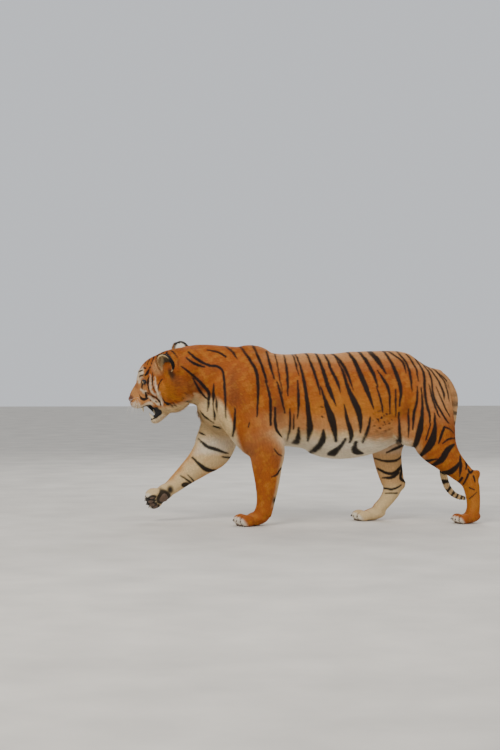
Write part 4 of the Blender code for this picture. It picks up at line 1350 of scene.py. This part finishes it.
def lie_of_coat(points, normals, body_lie):
    """The direction that the coat lies in, along the skin."""
    local = in_head(points)
    from_nose = local - NOSE_TIP
    from_nose[:, 2] -= 0.35 * ramp(local[:, 0], -0.10, 0.02) * np.abs(from_nose[:, 0])
    lie = unit(from_nose) @ TURNED.T
    head = head_share(points)[:, None]
    droop = np.zeros_like(lie)
    droop[:, 2] = -0.55 * (1 - np.abs(normals[:, 2]))
    body = unit(body_lie) + droop
    lie = unit(body) * (1 - head) + lie * head
    lie -= normals * np.sum(lie * normals, axis=1, keepdims=True)
    return unit(lie)


def unwrap(obj):
    """A map of a shape for baking, as a place for each loop."""
    obj.data.uv_layers.new(name="OFBake")
    bpy.context.view_layer.objects.active = obj
    obj.select_set(True)
    bpy.ops.object.mode_set(mode="EDIT")
    bpy.ops.mesh.select_all(action="SELECT")
    bpy.ops.uv.smart_project(angle_limit=math.radians(66), island_margin=0.003)
    bpy.ops.object.mode_set(mode="OBJECT")
    obj.select_set(False)
    return values_of(obj.data.uv_layers["OFBake"].data, "uv", 2)


def paint(mesh, colours):
    """Stores a linear colour for each vertex, which the material reads."""
    layer = mesh.color_attributes.new("coat", "FLOAT_COLOR", "POINT")
    opaque = np.column_stack((colours, np.ones(len(colours))))
    layer.data.foreach_set("color", opaque.astype(np.float32).ravel())


def make_skin():
    """The skin and what the coat needs to know about it."""
    skin = smoothed_flesh()
    points = corners_of(skin.data)
    triangles, _ = triangles_of(skin.data)
    edges = edges_of(skin.data)
    on_face = ramp(in_head(points)[:, 0], 0.05, 0.0) * head_share(points)
    points = points + on_face[:, None] * (eased(points, edges, FACE_ROUNDS) - points)
    calm = np.maximum.reduce([spot(points[:, 0], points[:, 2], *place) for place in EVEN_SPOTS])
    points = points + calm[:, None] * (eased(points, edges, EVEN_ROUNDS) - points)
    normals = normals_of(points, triangles)
    share, body_lie = near_guides(points)
    share = eased(share, edges, SHARE_ROUNDS)
    body_lie = eased(body_lie, edges, LIE_ROUNDS)
    length, lift, width = coat_fields(points, normals, share)
    length = eased(length, edges, LENGTH_ROUNDS)
    points = points - normals * (COAT_SINK * length * np.sin(lift) + LEAST_SINK)[:, None]
    points = sculpted(points, normals)
    points[:, 2] = np.maximum(points[:, 2], SOLE_HEIGHT)
    normals = normals_of(points, triangles)
    set_corners(skin.data, points)
    skin.data.shade_smooth()
    uv = unwrap(skin)
    triangles, loops = triangles_of(skin.data)
    # the skin is painted darker than the coat, as painted shade under it
    paint(skin.data, coat_colours(points, normals, share) * SHADE_UNDER_COAT)
    return skin, {"points": points, "normals": normals, "triangles": triangles, "uv": uv[loops],
                  "lie": lie_of_coat(points, normals, body_lie), "length": length, "lift": lift,
                  "width": width, "share": share}


def scattered(surface, names, crowd, count):
    """Roots spread over a surface, thickest where the crowd is high, with the named values at each."""
    triangles = surface["triangles"]
    face = np.searchsorted(np.cumsum(crowd) / crowd.sum(), random.random(count))
    face = np.minimum(face, len(triangles) - 1)
    u, v = random.random((2, count))
    over = u + v > 1
    u[over], v[over] = 1 - u[over], 1 - v[over]
    weight = np.column_stack((1 - u - v, u, v))
    corner = triangles[face]
    roots = {name: np.einsum("ij,ij...->i...", weight, surface[name][corner]) for name in names}
    roots["uv"] = np.einsum("ij,ijk->ik", weight, surface["uv"][face])
    roots["normals"] = unit(roots["normals"])
    lie = roots["lie"]
    lie = lie - roots["normals"] * np.sum(lie * roots["normals"], axis=1, keepdims=True)
    roots["lie"] = unit(lie)
    return roots


def body_tufts(skin, count):
    """Tufts over the whole skin but its bare places."""
    triangles = skin["triangles"]
    width = skin["width"][triangles].mean(axis=1)
    length = skin["length"][triangles].mean(axis=1)
    crowd = areas_of(skin["points"], triangles) / (width * length) ** CROWDING
    names = ("points", "normals", "lie", "length", "lift", "width", "share")
    roots = scattered(skin, names, crowd, count)
    points = roots["points"]
    keep = ~bare(in_head(points), points, roots["normals"]) & (points[:, 2] > SOLE_HEIGHT + 0.002)
    roots = {name: values[keep] for name, values in roots.items()}
    for name, share in TUFT_SAMPLES:
        seen = roots["points"] + roots["lie"] * (share * roots["length"])[:, None]
        roots[name] = coat_colours(seen, roots["normals"], roots["share"])
    # locks: neighbours lean and shade together
    roots["lean"] = 0.20 * waves(roots["points"], 0.016, 51) * ramp(roots["length"], 0.008, 0.02)
    locks = waves(roots["points"], 0.012, 52) * ramp(roots["length"], 0.004, 0.014)
    locks += 0.8 * waves(roots["points"], 0.006, 53) * ramp(roots["length"], 0.016, 0.008)
    for name in ("colours", "tip_colours"):
        roots[name] = roots[name] * (1 + LOCK_SHADE * locks)[:, None]
    return roots


def ear_tufts(ear, count):
    """Short hair over an ear, and longer pale hair across its cup."""
    crowd = areas_of(ear["points"], ear["triangles"])
    names = ("points", "normals", "lie", "local", "within")
    roots = scattered(ear, names, crowd, count)
    within = roots["within"]
    forward = -ear["side"] * roots["local"][:, 1] / ear["size"][1]
    fluff = ramp(forward, 0.30, 0.70)
    roots["length"] = 0.0070 + 0.012 * within * random.random(count) + 0.014 * fluff
    roots["lift"] = 0.20 + 0.20 * within + 0.20 * fluff
    roots["width"] = np.full(count, EAR_TUFT_WIDTH)
    roots["lean"] = np.zeros(count)
    roots["colours"] = ear_colours(roots["local"], ear["size"], within, ear["side"])
    roots["tip_colours"] = roots["colours"]
    return roots


def spikes(roots):
    """Corners, normals, colours and map of three-sided spikes that lie along the skin."""
    n = len(roots["points"])
    normal, lie = roots["normals"], roots["lie"]
    turn = random.normal(0, 0.14, n) + roots["lean"]
    across = np.cross(normal, lie)
    lie = lie * np.cos(turn)[:, None] + across * np.sin(turn)[:, None]
    across = np.cross(normal, lie)
    length = roots["length"] * random.uniform(0.75, 1.10, n)
    lift = roots["lift"] * random.uniform(0.55, 1.08, n)
    width = roots["width"] * THICKER * random.uniform(0.8, 1.2, n)
    reach = lie * np.cos(lift)[:, None] + normal * np.sin(lift)[:, None]
    root = roots["points"] - normal * (0.0006 + 0.3 * width)[:, None]
    corners = np.empty((n, 7, 3))
    corners[:, 0] = root + across * width[:, None]
    corners[:, 1] = root - across * width[:, None]
    corners[:, 2] = root + normal * (0.9 * width)[:, None] + lie * (0.15 * length)[:, None]
    corners[:, 3] = root + reach * length[:, None]
    corners[:, 4:] = corners[:, UNDERSIDE]
    spread = random.normal(1.0, 0.10, n)[:, None] * (1 + random.normal(0, 0.03, (n, 3)))
    root_colours = roots["colours"] * spread
    tip_colours = roots["tip_colours"] * spread
    # each tuft is painted darker at its root and lighter at its tip, as painted shade and light
    along_tuft = (root_colours, root_colours, root_colours, tip_colours)
    shades = np.stack([light * colour for light, colour in zip(PAINTED_TUFT_SHADING, along_tuft)], axis=1)
    shades = np.clip(np.concatenate((shades, shades[:, UNDERSIDE]), axis=1), *SHADE_LIMITS)
    facing = np.empty_like(corners)
    facing[:, 0] = unit(normal + 0.45 * across)
    facing[:, 1] = unit(normal - 0.45 * across)
    facing[:, 2] = normal
    facing[:, 3] = unit(normal + 0.25 * lie)
    facing[:, 4:] = unit(np.cross(across, reach))[:, None, :]
    facing[:, 4:] *= -np.sign(np.sum(facing[:, 4] * normal, axis=1))[:, None, None]
    patch = TUFT_PATCH * np.array(((0.5, -0.4), (-0.5, -0.4), (0.0, -0.1), (0.0, 0.5)))
    patch = np.concatenate((patch, patch[UNDERSIDE]))
    return corners, facing, shades, roots["uv"][:, None, :] + patch[None]


def coat_mesh(name, corners, facing, shades, uv, material):
    """One piece of coat made of spikes."""
    count, each = corners.shape[:2]
    faces = (np.arange(count)[:, None, None] * each + SPIKE_FACES[None]).reshape(-1, 3)
    mesh = bpy.data.meshes.new(name)
    mesh.vertices.add(each * count)
    mesh.vertices.foreach_set("co", corners.astype(np.float32).ravel())
    mesh.loops.add(faces.size)
    mesh.loops.foreach_set("vertex_index", faces.ravel().astype(np.int32))
    mesh.polygons.add(len(faces))
    mesh.polygons.foreach_set("loop_start", np.arange(0, faces.size, 3, dtype=np.int32))
    mesh.update(calc_edges=True)
    layer = mesh.uv_layers.new(name="OFBake")
    layer.data.foreach_set("uv", uv.reshape(-1, 2)[faces.ravel()].astype(np.float32).ravel())
    paint(mesh, shades.reshape(-1, 3))
    mesh.shade_smooth()
    mesh.normals_split_custom_set_from_vertices(facing.reshape(-1, 3).astype(np.float32))
    mesh.materials.append(material)
    return link(name, mesh)


def body_coat(roots, material):
    """The body's tufts in pieces that run from nose to tail, the head's by themselves."""
    made = spikes(roots)
    key = roots["points"][:, 0] - 10.0 * (head_share(roots["points"]) > 0.5)
    parts = max(1, math.ceil(len(key) / PIECE_TUFTS))
    pieces = []
    for number, chosen in enumerate(np.array_split(np.argsort(key), parts)):
        pieces.append(coat_mesh(f"coat_{number + 1}", *(values[chosen] for values in made), material))
    return pieces


def shader_of(name, roughness, specular):
    """A new material, its node tree and its shader."""
    made = bpy.data.materials.new(name)
    made.use_nodes = True
    tree = made.node_tree
    shader = tree.nodes["Principled BSDF"]
    shader.inputs["Roughness"].default_value = roughness
    shader.inputs["Specular IOR Level"].default_value = specular
    return made, tree, shader


def node_of(tree, kind, settings):
    """A new node with some of its inputs set."""
    node = tree.nodes.new(kind)
    for name, value in settings.items():
        node.inputs[name].default_value = value
    return node


def add_bump(tree, shader, height, strength, distance):
    """Bumps the shader's surface by a node's output."""
    bump = node_of(tree, "ShaderNodeBump", {"Strength": strength, "Distance": distance})
    tree.links.new(height, bump.inputs["Height"])
    tree.links.new(bump.outputs["Normal"], shader.inputs["Normal"])


def add_noise(tree, scale, detail, stretch=(1, 1, 1)):
    """A noise texture on the object's own coordinates."""
    place = tree.nodes.new("ShaderNodeTexCoord")
    mapping = node_of(tree, "ShaderNodeMapping", {"Scale": stretch})
    noise = node_of(tree, "ShaderNodeTexNoise", {"Scale": scale, "Detail": detail})
    tree.links.new(place.outputs["Object"], mapping.inputs["Vector"])
    tree.links.new(mapping.outputs["Vector"], noise.inputs["Vector"])
    return noise.outputs["Fac"]


def shaded(tree, colour, share, low, high):
    """A colour made darker and lighter by a 0 to 1 output."""
    ranged = node_of(tree, "ShaderNodeMapRange", {"To Min": low, "To Max": high})
    tree.links.new(share, ranged.inputs["Value"])
    scale = tree.nodes.new("ShaderNodeVectorMath")
    scale.operation = "SCALE"
    tree.links.new(colour, scale.inputs[0])
    tree.links.new(ranged.outputs["Result"], scale.inputs["Scale"])
    return scale.outputs["Vector"]


def painted_material(name, roughness, bump_scale, bump_strength):
    """A coat or skin finish: the painted colour, broken up and bumped by noise."""
    made, tree, shader = shader_of(name, roughness, 0.25)
    colour = tree.nodes.new("ShaderNodeVertexColor")
    colour.layer_name = "coat"
    noise = add_noise(tree, bump_scale, 4.0, (0.35, 1.0, 1.0))
    tree.links.new(shaded(tree, colour.outputs["Color"], noise, 0.82, 1.18), shader.inputs["Base Color"])
    add_bump(tree, shader, noise, bump_strength, 0.002)
    return made


def plain_material(name, colour, roughness, noise_scale, bump_strength, coat=0.0):
    """A finish of one hue, mottled and bumped by noise."""
    made, tree, shader = shader_of(name, roughness, 0.5)
    shader.inputs["Coat Weight"].default_value = coat
    base = tree.nodes.new("ShaderNodeRGB")
    base.outputs["Color"].default_value = (*colour, 1.0)
    noise = add_noise(tree, noise_scale, 5.0)
    tree.links.new(shaded(tree, base.outputs["Color"], noise, 0.75, 1.25), shader.inputs["Base Color"])
    add_bump(tree, shader, noise, bump_strength, 0.001)
    return made


def link_mesh(name, points, faces, *materials):
    """A smooth object of points and faces."""
    mesh = bpy.data.meshes.new(name)
    mesh.from_pydata([tuple(p) for p in points], [], [tuple(int(i) for i in f) for f in faces])
    mesh.update()
    mesh.shade_smooth()
    for material in materials:
        mesh.materials.append(material)
    return link(name, mesh)


def joined(parts):
    """The points and faces of several parts as those of one."""
    points, faces = [], []
    for more_points, more_faces in parts:
        faces += [tuple(len(points) + i for i in face) for face in more_faces]
        points += list(more_points)
    return np.array(points), faces


def unit_ball(rings, steps):
    """The points of a ball of radius one, for the faces that ball_faces gives."""
    around = np.linspace(0, 2 * np.pi, steps, endpoint=False)
    points = [(0, 0, 1)]
    for tilt in np.linspace(0, np.pi, rings + 2)[1:-1]:
        points += [(np.sin(tilt) * np.cos(a), np.sin(tilt) * np.sin(a), np.cos(tilt)) for a in around]
    return np.array([*points, (0, 0, -1)])


def rounded_ball(name, form, size, material, push, colours=None):
    """A fine ellipsoid in the head's frame, pushed and painted by functions of its unit points."""
    points = unit_ball(*FINE_BALL)
    where = points * size + push(points) + np.array(form)
    made = link_mesh(name, out_of_head(where), ball_faces(*FINE_BALL), material)
    if colours is not None:
        paint(made.data, colours(points))
    return made


def make_eye(side, word, materials):
    """An eyeball with pupil, iris, dark rim, white and a bulging cornea, turned to its gaze."""
    centre, gaze, slit, up = eye_place(side, EYE_TURN)
    radius = EYE[1] - EYE_SHRINK
    points = [centre + gaze * (radius + CORNEA_BULGE)]
    for angle in EYE_RINGS:
        turn = math.radians(angle)
        bulge = radius + CORNEA_BULGE * max(0.0, 1 - (angle / CORNEA_EDGE) ** 2)
        for around in angles(EYE_STEPS):
            sideways = slit * math.cos(around) + up * math.sin(around)
            points.append(centre + bulge * (gaze * math.cos(turn) + sideways * math.sin(turn)))
    points.append(centre - gaze * radius)
    faces = ball_faces(len(EYE_RINGS), EYE_STEPS)
    eye = link_mesh(f"eyeball_{word}", out_of_head(np.array(points)), faces, *materials)
    for number, face in enumerate(eye.data.polygons):
        angle = (0, *EYE_RINGS)[number // EYE_STEPS]
        face.material_index = sum(angle >= edge for edge in EYE_BANDS)
    return eye


def make_lids(side, word, material):
    """The dark rims of the lids: an almond band that meets the ball and sinks under the coat."""
    centre, gaze, slit, up = eye_place(side, LID_TURN)
    points = []
    for size, out in LID_RINGS:
        for around in angles(LID_STEPS):
            across = LID_WIDTH * size * math.cos(around)
            corner = abs(math.cos(around)) ** 3
            high = LID_HEIGHT * size * math.sin(around) * (1 - LID_POINT * corner)
            high -= LID_DROP * math.cos(around) * (size < LID_LEVEL)
            flat = math.hypot(across, high)
            ahead = math.sqrt(max(EYE[1] ** 2 - min(flat, EYE[1] * BALL_EDGE) ** 2, 0.0))
            place = slit * across + up * high + gaze * ahead
            points.append(centre + place + unit(place) * out)
    lids = link_mesh(f"lids_{word}", out_of_head(np.array(points)), ring_faces(len(LID_RINGS), LID_STEPS),
                     material)
    solid = lids.modifiers.new("thick", "SOLIDIFY")
    solid.thickness = LID_THICK
    solid.offset = -1
    return lids


def nostrils(unit_points):
    """1 in the comma-shaped nostrils of the unit ball that the nose is made of."""
    x, y, z = unit_points.T
    y = np.abs(y)
    hole = ramp(np.hypot((y - 0.50) / 0.22, (z + 0.22 - 0.30 * (y - 0.5)) / 0.26), 1.0, 0.5)
    slit = ramp(np.hypot((y - 0.78) / 0.22, (z + 0.10) / 0.11), 1.0, 0.5)
    return np.maximum(hole, slit) * ramp(x, 0.1, -0.2)


def nose_push(unit_points):
    """Nostrils, the groove between them and the flat upper edge of the nose leather."""
    x, y, z = unit_points.T
    front = ramp(x, 0.1, -0.4)
    nostril = nostrils(unit_points)
    groove = ramp(np.abs(y), 0.10, 0.02) * ramp(z, 0.25, 0.0)
    out = np.zeros_like(unit_points)
    out[:, 0] = front * (0.0070 * nostril + 0.0022 * groove)
    wing = ramp(np.abs(y), 0.45, 0.85) * ramp(z, 0.2, -0.4)
    out[:, 2] = 0.0035 * wing - 0.0018 * ramp(z, 0.5, 1.0)
    return out


def nose_colours(unit_points):
    """Pinkish brown leather, black in the nostrils as painted shade of their hollows, and dark at its lower
    edge.
    """
    shade = np.maximum(0.95 * nostrils(unit_points), 0.6 * ramp(unit_points[:, 2], -0.55, -0.85))
    return mixed(NOSE_PINK, BLACK, shade)


def make_nose(material):
    """The nose leather."""
    form, size = np.array(NOSE) + NOSE_LEATHER
    return rounded_ball("nose_leather", form, size, material, nose_push, nose_colours)


def curved_tooth(root, tip, radius, bend, rings=10, steps=16):
    """Points and faces of a conical tooth bent backwards."""
    root, tip = np.array(root), np.array(tip)
    along = unit(tip - root)
    length = np.linalg.norm(tip - root)
    sideways = unit(np.cross(along, (0, 1, 0)))
    across = np.cross(along, sideways)
    points = []
    for ring in range(rings):
        share = ring / (rings - 1)
        middle = root + along * length * share + sideways * bend * math.sin(math.pi * share)
        size = radius * (1 - share ** 1.7) + 0.0004
        for a in angles(steps):
            points.append(middle + size * (sideways * math.cos(a) + 0.85 * across * math.sin(a)))
    faces = ring_faces(rings, steps)
    last = (rings - 1) * steps
    faces.append(tuple(range(last, last + steps)))
    faces.append(tuple(range(steps - 1, -1, -1)))
    return points, faces


def make_tooth(name, root, tip, radius, side, material):
    """A canine, ivory and bent backwards."""
    mirror = (1, side, 1)
    points, faces = curved_tooth(np.array(root) * mirror, np.array(tip) * mirror, CANINE_SHARE * radius,
                                 CANINE_BEND)
    return link_mesh(name, out_of_head(points), faces, material)


def make_incisors(material):
    """The two short rows of front teeth between the canines, as one piece."""
    teeth = []
    for x, z, reach, spread in INCISOR_ROWS:
        for number in range(INCISORS):
            aside = number - (INCISORS - 1) / 2
            y = aside * spread
            root = (x + INCISOR_ARC * aside ** 2, y, z)
            tip = (root[0] - 0.001, y, z + reach)
            teeth.append(curved_tooth(root, tip, INCISOR_RADIUS, INCISOR_BEND, rings=6, steps=10))
    points, faces = joined(teeth)
    return link_mesh("incisors", out_of_head(points), faces, material)


def make_mouth(material):
    """The lining of the cheeks and the back of the mouth, near-black as painted shade of the mouth's inside.
    """
    rows = catmull_rom(MOUTH_WALL, 6)
    rows = np.vstack((rows, rows[-2::-1] * (1, -1, 1, 1), np.array(FAR_LIP) / 1000))
    points = []
    for share in np.linspace(0, 1, MOUTH_LEVELS):
        for x, y, top, bottom in rows:
            bulge = math.sin(math.pi * share)
            back = 0.024 * bulge * min(max((-0.120 - x) / 0.06, 0.0), 1.0) * (y < 0)
            aside = math.copysign(0.004 * bulge, y) * (abs(y) > 0.01)
            points.append((x + back, y + aside, top + share * (bottom - top)))
    faces = ring_faces(MOUTH_LEVELS, len(rows), closed=False)
    lining = link_mesh("mouth_lining", out_of_head(points), faces, material)
    thick = lining.modifiers.new("thick", "SOLIDIFY")
    thick.thickness = LINING_THICK
    return lining


def tongue_push(unit_points):
    """The groove along the tongue's middle, its edges curled up and its tip bent down."""
    x, y, z = unit_points.T
    out = np.zeros_like(unit_points)
    out[:, 2] = 0.0035 * np.abs(y) ** 2 - 0.0030 * ramp(np.abs(y), 0.25, 0.0) * (z > 0)
    out[:, 2] -= 0.010 * ramp(x, 0.0, -1.0)
    return out


def whisker(start, heading, length, droop, thick):
    """Points and faces of one tapering hair that bends down."""
    place = np.array(start, dtype=float)
    heading = unit(np.array(heading, dtype=float))
    points = []
    for share in np.arange(WHISKER_RINGS) / (WHISKER_RINGS - 1):
        size = thick * (1 - share) ** 0.7 + WHISKER_TIP
        side = unit(np.cross(heading, (0.1, 0.2, 1.0)))
        above = np.cross(side, heading)
        for a in angles(3):
            points.append(place + size * (side * math.cos(a) + above * math.sin(a)))
        place = place + heading * (length / (WHISKER_RINGS - 1))
        heading = unit(heading + np.array((0, 0, -droop / (WHISKER_RINGS - 1))))
    last = 3 * WHISKER_RINGS
    return points, ring_faces(WHISKER_RINGS, 3) + [(0, 1, 2), (last - 1, last - 2, last - 3)]


def make_whiskers(material):
    """Long white whiskers from both pads and a few stiff hairs over each eye."""
    hairs = []
    for side, outward, reach in WHISKER_SIDES:
        for row, (x, z, count) in enumerate(WHISKER_ROWS):
            for number in range(count):
                px = x + 0.009 * number + random.uniform(-0.001, 0.001)
                pz = z + 0.0015 * number + random.uniform(-0.001, 0.001)
                out = 1 - ((px + 0.238) / 0.054) ** 2 - ((pz + 0.064) / 0.038) ** 2
                py = 0.043 + 0.035 * math.sqrt(max(out, 0.02)) - 0.003
                heading = np.array((-0.30 + 0.75 * number / count, outward, 0.05 - 0.22 * row))
                heading += random.normal(0, 0.12, 3)
                length = reach * random.uniform(*WHISKER_LENGTHS) * (0.85 if row in (0, 3) else 1.0)
                start = out_of_head(np.array((px, side * py, pz)))
                world = (heading * (1, side, 1)) @ TURNED.T
                hairs.append(whisker(start, world, length, random.uniform(*WHISKER_DROOPS), WHISKER_THICK))
        for number in range(BROW_HAIRS):
            start = (-0.160 - 0.004 * number, side * (0.052 - 0.004 * number), 0.082 - 0.001 * number)
            heading = np.array((-0.75 + 0.08 * number, 0.30 * side, 0.65)) + random.normal(0, 0.10, 3)
            world = heading @ TURNED.T
            length = random.uniform(*BROW_HAIR_LENGTHS)
            hairs.append(whisker(out_of_head(start), world, length, BROW_HAIR_DROOP, BROW_HAIR_THICK))
    return link_mesh("whiskers", *joined(hairs), material)


def pad_dome(pad, name, lobed):
    """Points and faces of one pad, in its paw's frame; a heel pad is lobed."""
    x, y, long, wide = pad
    _, length, width, _ = PAWS[name]
    depth = RAISED_PAD if name == LIFTED and lobed else PAD_DEPTH
    points = []
    for ring in range(PAD_RINGS):
        tilt = 0.5 * math.pi * (ring + 0.4) / PAD_RINGS
        for a in angles(PAD_STEPS):
            lobe = 1.0 - 0.10 * math.cos(3 * a) * math.sin(tilt) if lobed else 1.0
            px = (x + long * lobe * math.sin(tilt) * math.cos(a)) * length
            py = (y + wide * lobe * math.sin(tilt) * math.sin(a)) * width
            pz = PAD_TOP - depth * math.cos(tilt) ** 0.6
            points.append((px, py, pz if name == LIFTED else max(pz, LEAST_CLEARANCE)))
    return points, ring_faces(PAD_RINGS, PAD_STEPS) + [tuple(range(PAD_STEPS))]


def make_pads(name, material):
    """The pads of one sole, joined as one piece: a lobed heel pad and four toe pads."""
    points, faces = joined(pad_dome(pad, name, pad is PADS[0]) for pad in PADS)
    return link_mesh(f"pads_{name}", out_of_paw(points, name), faces, material)


def make_claws(name, material):
    """Four small claws, drawn in, whose tips only just clear the fur."""
    _, length, width, height = PAWS[name]
    claws = []
    for spread, reach in zip(TOE_SPREAD, TOE_REACH):
        root = np.array((-(0.27 * reach + 0.205) * length, spread * width, 0.42 * height))
        claws.append(curved_tooth(root, root + CLAW_TIP, CLAW_RADIUS, CLAW_BEND, rings=8, steps=10))
    points, faces = joined(claws)
    return link_mesh(f"claws_{name}", out_of_paw(points, name), faces, material)


def ear_place(side):
    """An ear's centre, and the turn from its own frame to the head's."""
    x, y, z = EAR[0]
    tilt, lean, swing = (math.radians(a) for a in EAR_TURN)
    turned = np.array(Euler((side * tilt, lean, side * swing)).to_matrix())
    return np.array((x, side * y, z)), turned


def make_ear(side, word, material):
    """An ear: a cupped shell, black behind with a white spot and pale hair within."""
    centre, turned = ear_place(side)
    size = np.array(EAR[1]) - EAR_SHRINK
    middle = np.array(EAR_HOLLOW[0]) * (1, side, 1)
    reach = np.array(EAR_HOLLOW[1]) - HOLLOW_SHRINK
    local = unit_ball(EAR_RINGS, EAR_STEPS)[:, (2, 0, 1)] * (-1, 1, 1) * size
    # the front is pressed back onto the hollow's wall
    shift = (local - middle) / reach
    inside = np.linalg.norm(shift, axis=1) < 1
    deep = np.sqrt(np.maximum(1 - np.sum(shift[inside][:, 1:] ** 2, axis=1), 0))
    local[inside, 0] = middle[0] + deep * reach[0]
    within = inside.astype(float)
    world = out_of_head(local @ turned.T + centre)
    ear = link_mesh(f"ear_{word}_shell", world, ball_faces(EAR_RINGS, EAR_STEPS), material)
    bm = bmesh.new()
    bm.from_mesh(ear.data)
    bmesh.ops.recalc_face_normals(bm, faces=bm.faces)
    bm.to_mesh(ear.data)
    bm.free()
    uv = unwrap(ear)
    paint(ear.data, ear_colours(local, size, within, side))
    triangles, loops = triangles_of(ear.data)
    normals = normals_of(world, triangles)
    lie = (turned @ np.array(EAR_LIE)) @ TURNED.T
    lie = np.tile(lie, (len(world), 1))
    lie -= normals * np.sum(lie * normals, axis=1, keepdims=True)
    return ear, {"points": world, "normals": normals, "triangles": triangles, "uv": uv[loops],
                 "lie": unit(lie), "local": local, "within": within, "size": size, "side": side}


def ear_colours(local, size, within, side):
    """Black behind with a white spot, orange at the foot, painted shade deep in the cup, tan and cream at
    the rims.
    """
    x, y, z = (local / size).T
    y = -side * y             # 1 at the front rim and -1 at the rear one
    fine = waves(local, 0.010, 41)
    patch = ramp(np.hypot((y + 0.05) / 0.60, (z - 0.36) / 0.44) + 0.12 * fine, 1.1, 0.8) * ramp(x, 0.1, 0.3)
    front = np.maximum(within * 0.9, ramp(x, -0.02, -0.30))
    # painted shade deep in the ear's cup
    deep = within * ramp(np.hypot((y + 0.10) / 0.62, (z + 0.05) / 0.80), 1.0, 0.6)
    return layered(BLACK * 1.2, (
        (WHITE, patch * 0.9),
        (ORANGE, ramp(z, -0.45, -0.75)),
        (CREAM, front * ramp(y, -0.85, -0.60)),
        (EAR_CUP_SHADE, 0.85 * deep),
        (0.5 * (TAN + GOLD), 0.9 * ramp(y + 0.10 * fine, 0.52, 0.80)),
    ))


def area_light(name, place, target, power, colour):
    """A soft square light that faces a point."""
    light = bpy.data.lights.new(name, "AREA")
    light.shape = "SQUARE"
    light.size = LIGHT_SIZE
    light.energy = power
    light.color = colour
    obj = link(name, light)
    obj.location = place
    obj.rotation_euler = (Vector(target) - Vector(place)).to_track_quat("-Z", "Y").to_euler()


def add_floor(material):
    """A large pale ground."""
    bm = bmesh.new()
    bmesh.ops.create_grid(bm, x_segments=40, y_segments=40, size=30.0)
    floor = link("floor", mesh_from("floor", bm))
    floor.data.materials.append(material)
    return floor


def set_world(strength):
    """An even, nearly white light from all around."""
    world = bpy.data.worlds.new("studio")
    world.use_nodes = True
    background = world.node_tree.nodes["Background"]
    background.inputs["Color"].default_value = (0.92, 0.95, 1.0, 1.0)
    background.inputs["Strength"].default_value = strength
    bpy.context.scene.world = world


def set_camera():
    """A level view from the tiger's left, a little ahead of it."""
    camera = bpy.data.cameras.new("camera")
    camera.lens = LENS
    camera.sensor_width = 36.0
    camera.clip_end = 200.0
    obj = link("camera", camera)
    obj.location = CAMERA
    aim = Vector((math.sin(CAMERA_TURN), math.cos(CAMERA_TURN), 0.0))
    obj.rotation_euler = aim.to_track_quat("-Z", "Y").to_euler()
    bpy.context.scene.camera = obj


def place(piece, slot, *nodes):
    """Hangs a piece on the root body and hides the named nodes that it stands for; the slot is not used."""
    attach(piece, "root")
    if nodes:
        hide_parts(*nodes)


skin_finish = painted_material("skin_finish", 0.80, 260.0, 0.5)
coat_finish = painted_material("coat_finish", 0.65, 420.0, 0.15)
ear_finish = painted_material("ear_finish", 0.80, 300.0, 0.4)
leather = painted_material("nose_finish", 0.45, 420.0, 0.7)
lid_finish = plain_material("lid_finish", tone(16, 11, 9), 0.65, 500.0, 0.4)
pad_finish = plain_material("pad_finish", PAD, 0.70, 500.0, 0.8)
claw_finish = plain_material("claw_finish", tone(70, 56, 44), 0.30, 300.0, 0.2)
# near-black lining: painted shade of the mouth's inside
mouth_shade_finish = plain_material("mouth_shade_finish", LIPS_AND_MOUTH_SHADE, 0.70, 260.0, 0.6)
eye_finishes = (
    plain_material("pupil_finish", (0.004, 0.004, 0.004), 0.05, 200.0, 0.0, coat=1.0),
    plain_material("iris_finish", tone(168, 124, 44), 0.10, 900.0, 0.05, coat=1.0),
    plain_material("limbus_finish", tone(28, 18, 10), 0.10, 400.0, 0.02, coat=1.0),
    plain_material("sclera_finish", tone(44, 30, 20), 0.15, 300.0, 0.05, coat=1.0),
)
tooth_finish = plain_material("tooth_finish", tone(222, 204, 166), 0.28, 90.0, 0.15)
tongue_finish = plain_material("tongue_finish", tone(166, 88, 82), 0.45, 700.0, 0.9)
whisker_finish = plain_material("whisker_finish", tone(236, 232, 222), 0.35, 60.0, 0.05)
floor_finish = plain_material("floor_finish", tone(206, 200, 190), 0.9, 3.0, 0.2)

skin, skin_data = make_skin()
skin.data.materials.append(skin_finish)
place(skin, "coat", *FLESH)
for piece in body_coat(body_tufts(skin_data, COAT_TUFTS), coat_finish):
    place(piece, "coat")

for side, word in ((-1, "left"), (1, "right")):
    place(make_eye(side, word, eye_finishes), "eye", f"eye_{word}")
    place(make_lids(side, word, lid_finish), "nose_leather")
    ear, ear_data = make_ear(side, word, ear_finish)
    place(ear, "ear_coat", f"ear_{word}")
    hair = spikes(ear_tufts(ear_data, EAR_TUFTS))
    place(coat_mesh(f"ear_{word}_coat", *hair, coat_finish), "ear_coat")
    for name, canine in CANINES.items():
        tooth = make_tooth(f"tooth_{name}_{word}", *canine, side, tooth_finish)
        place(tooth, "tooth", f"canine_{name}_{word}")
place(make_nose(leather), "nose_leather", "nose")
place(rounded_ball("tongue_top", *TONGUE, tongue_finish, tongue_push), "tongue", "tongue")
place(make_mouth(mouth_shade_finish), "tongue")
place(make_incisors(tooth_finish), "tooth")
place(make_whiskers(whisker_finish), "tooth")
for name in PAWS:
    place(make_pads(name, pad_finish), "nose_leather")
    place(make_claws(name, claw_finish), "tooth")

floor = add_floor(floor_finish)
set_world(WORLD_LIGHT)
for light in LIGHTS:
    area_light(*light)
set_camera()
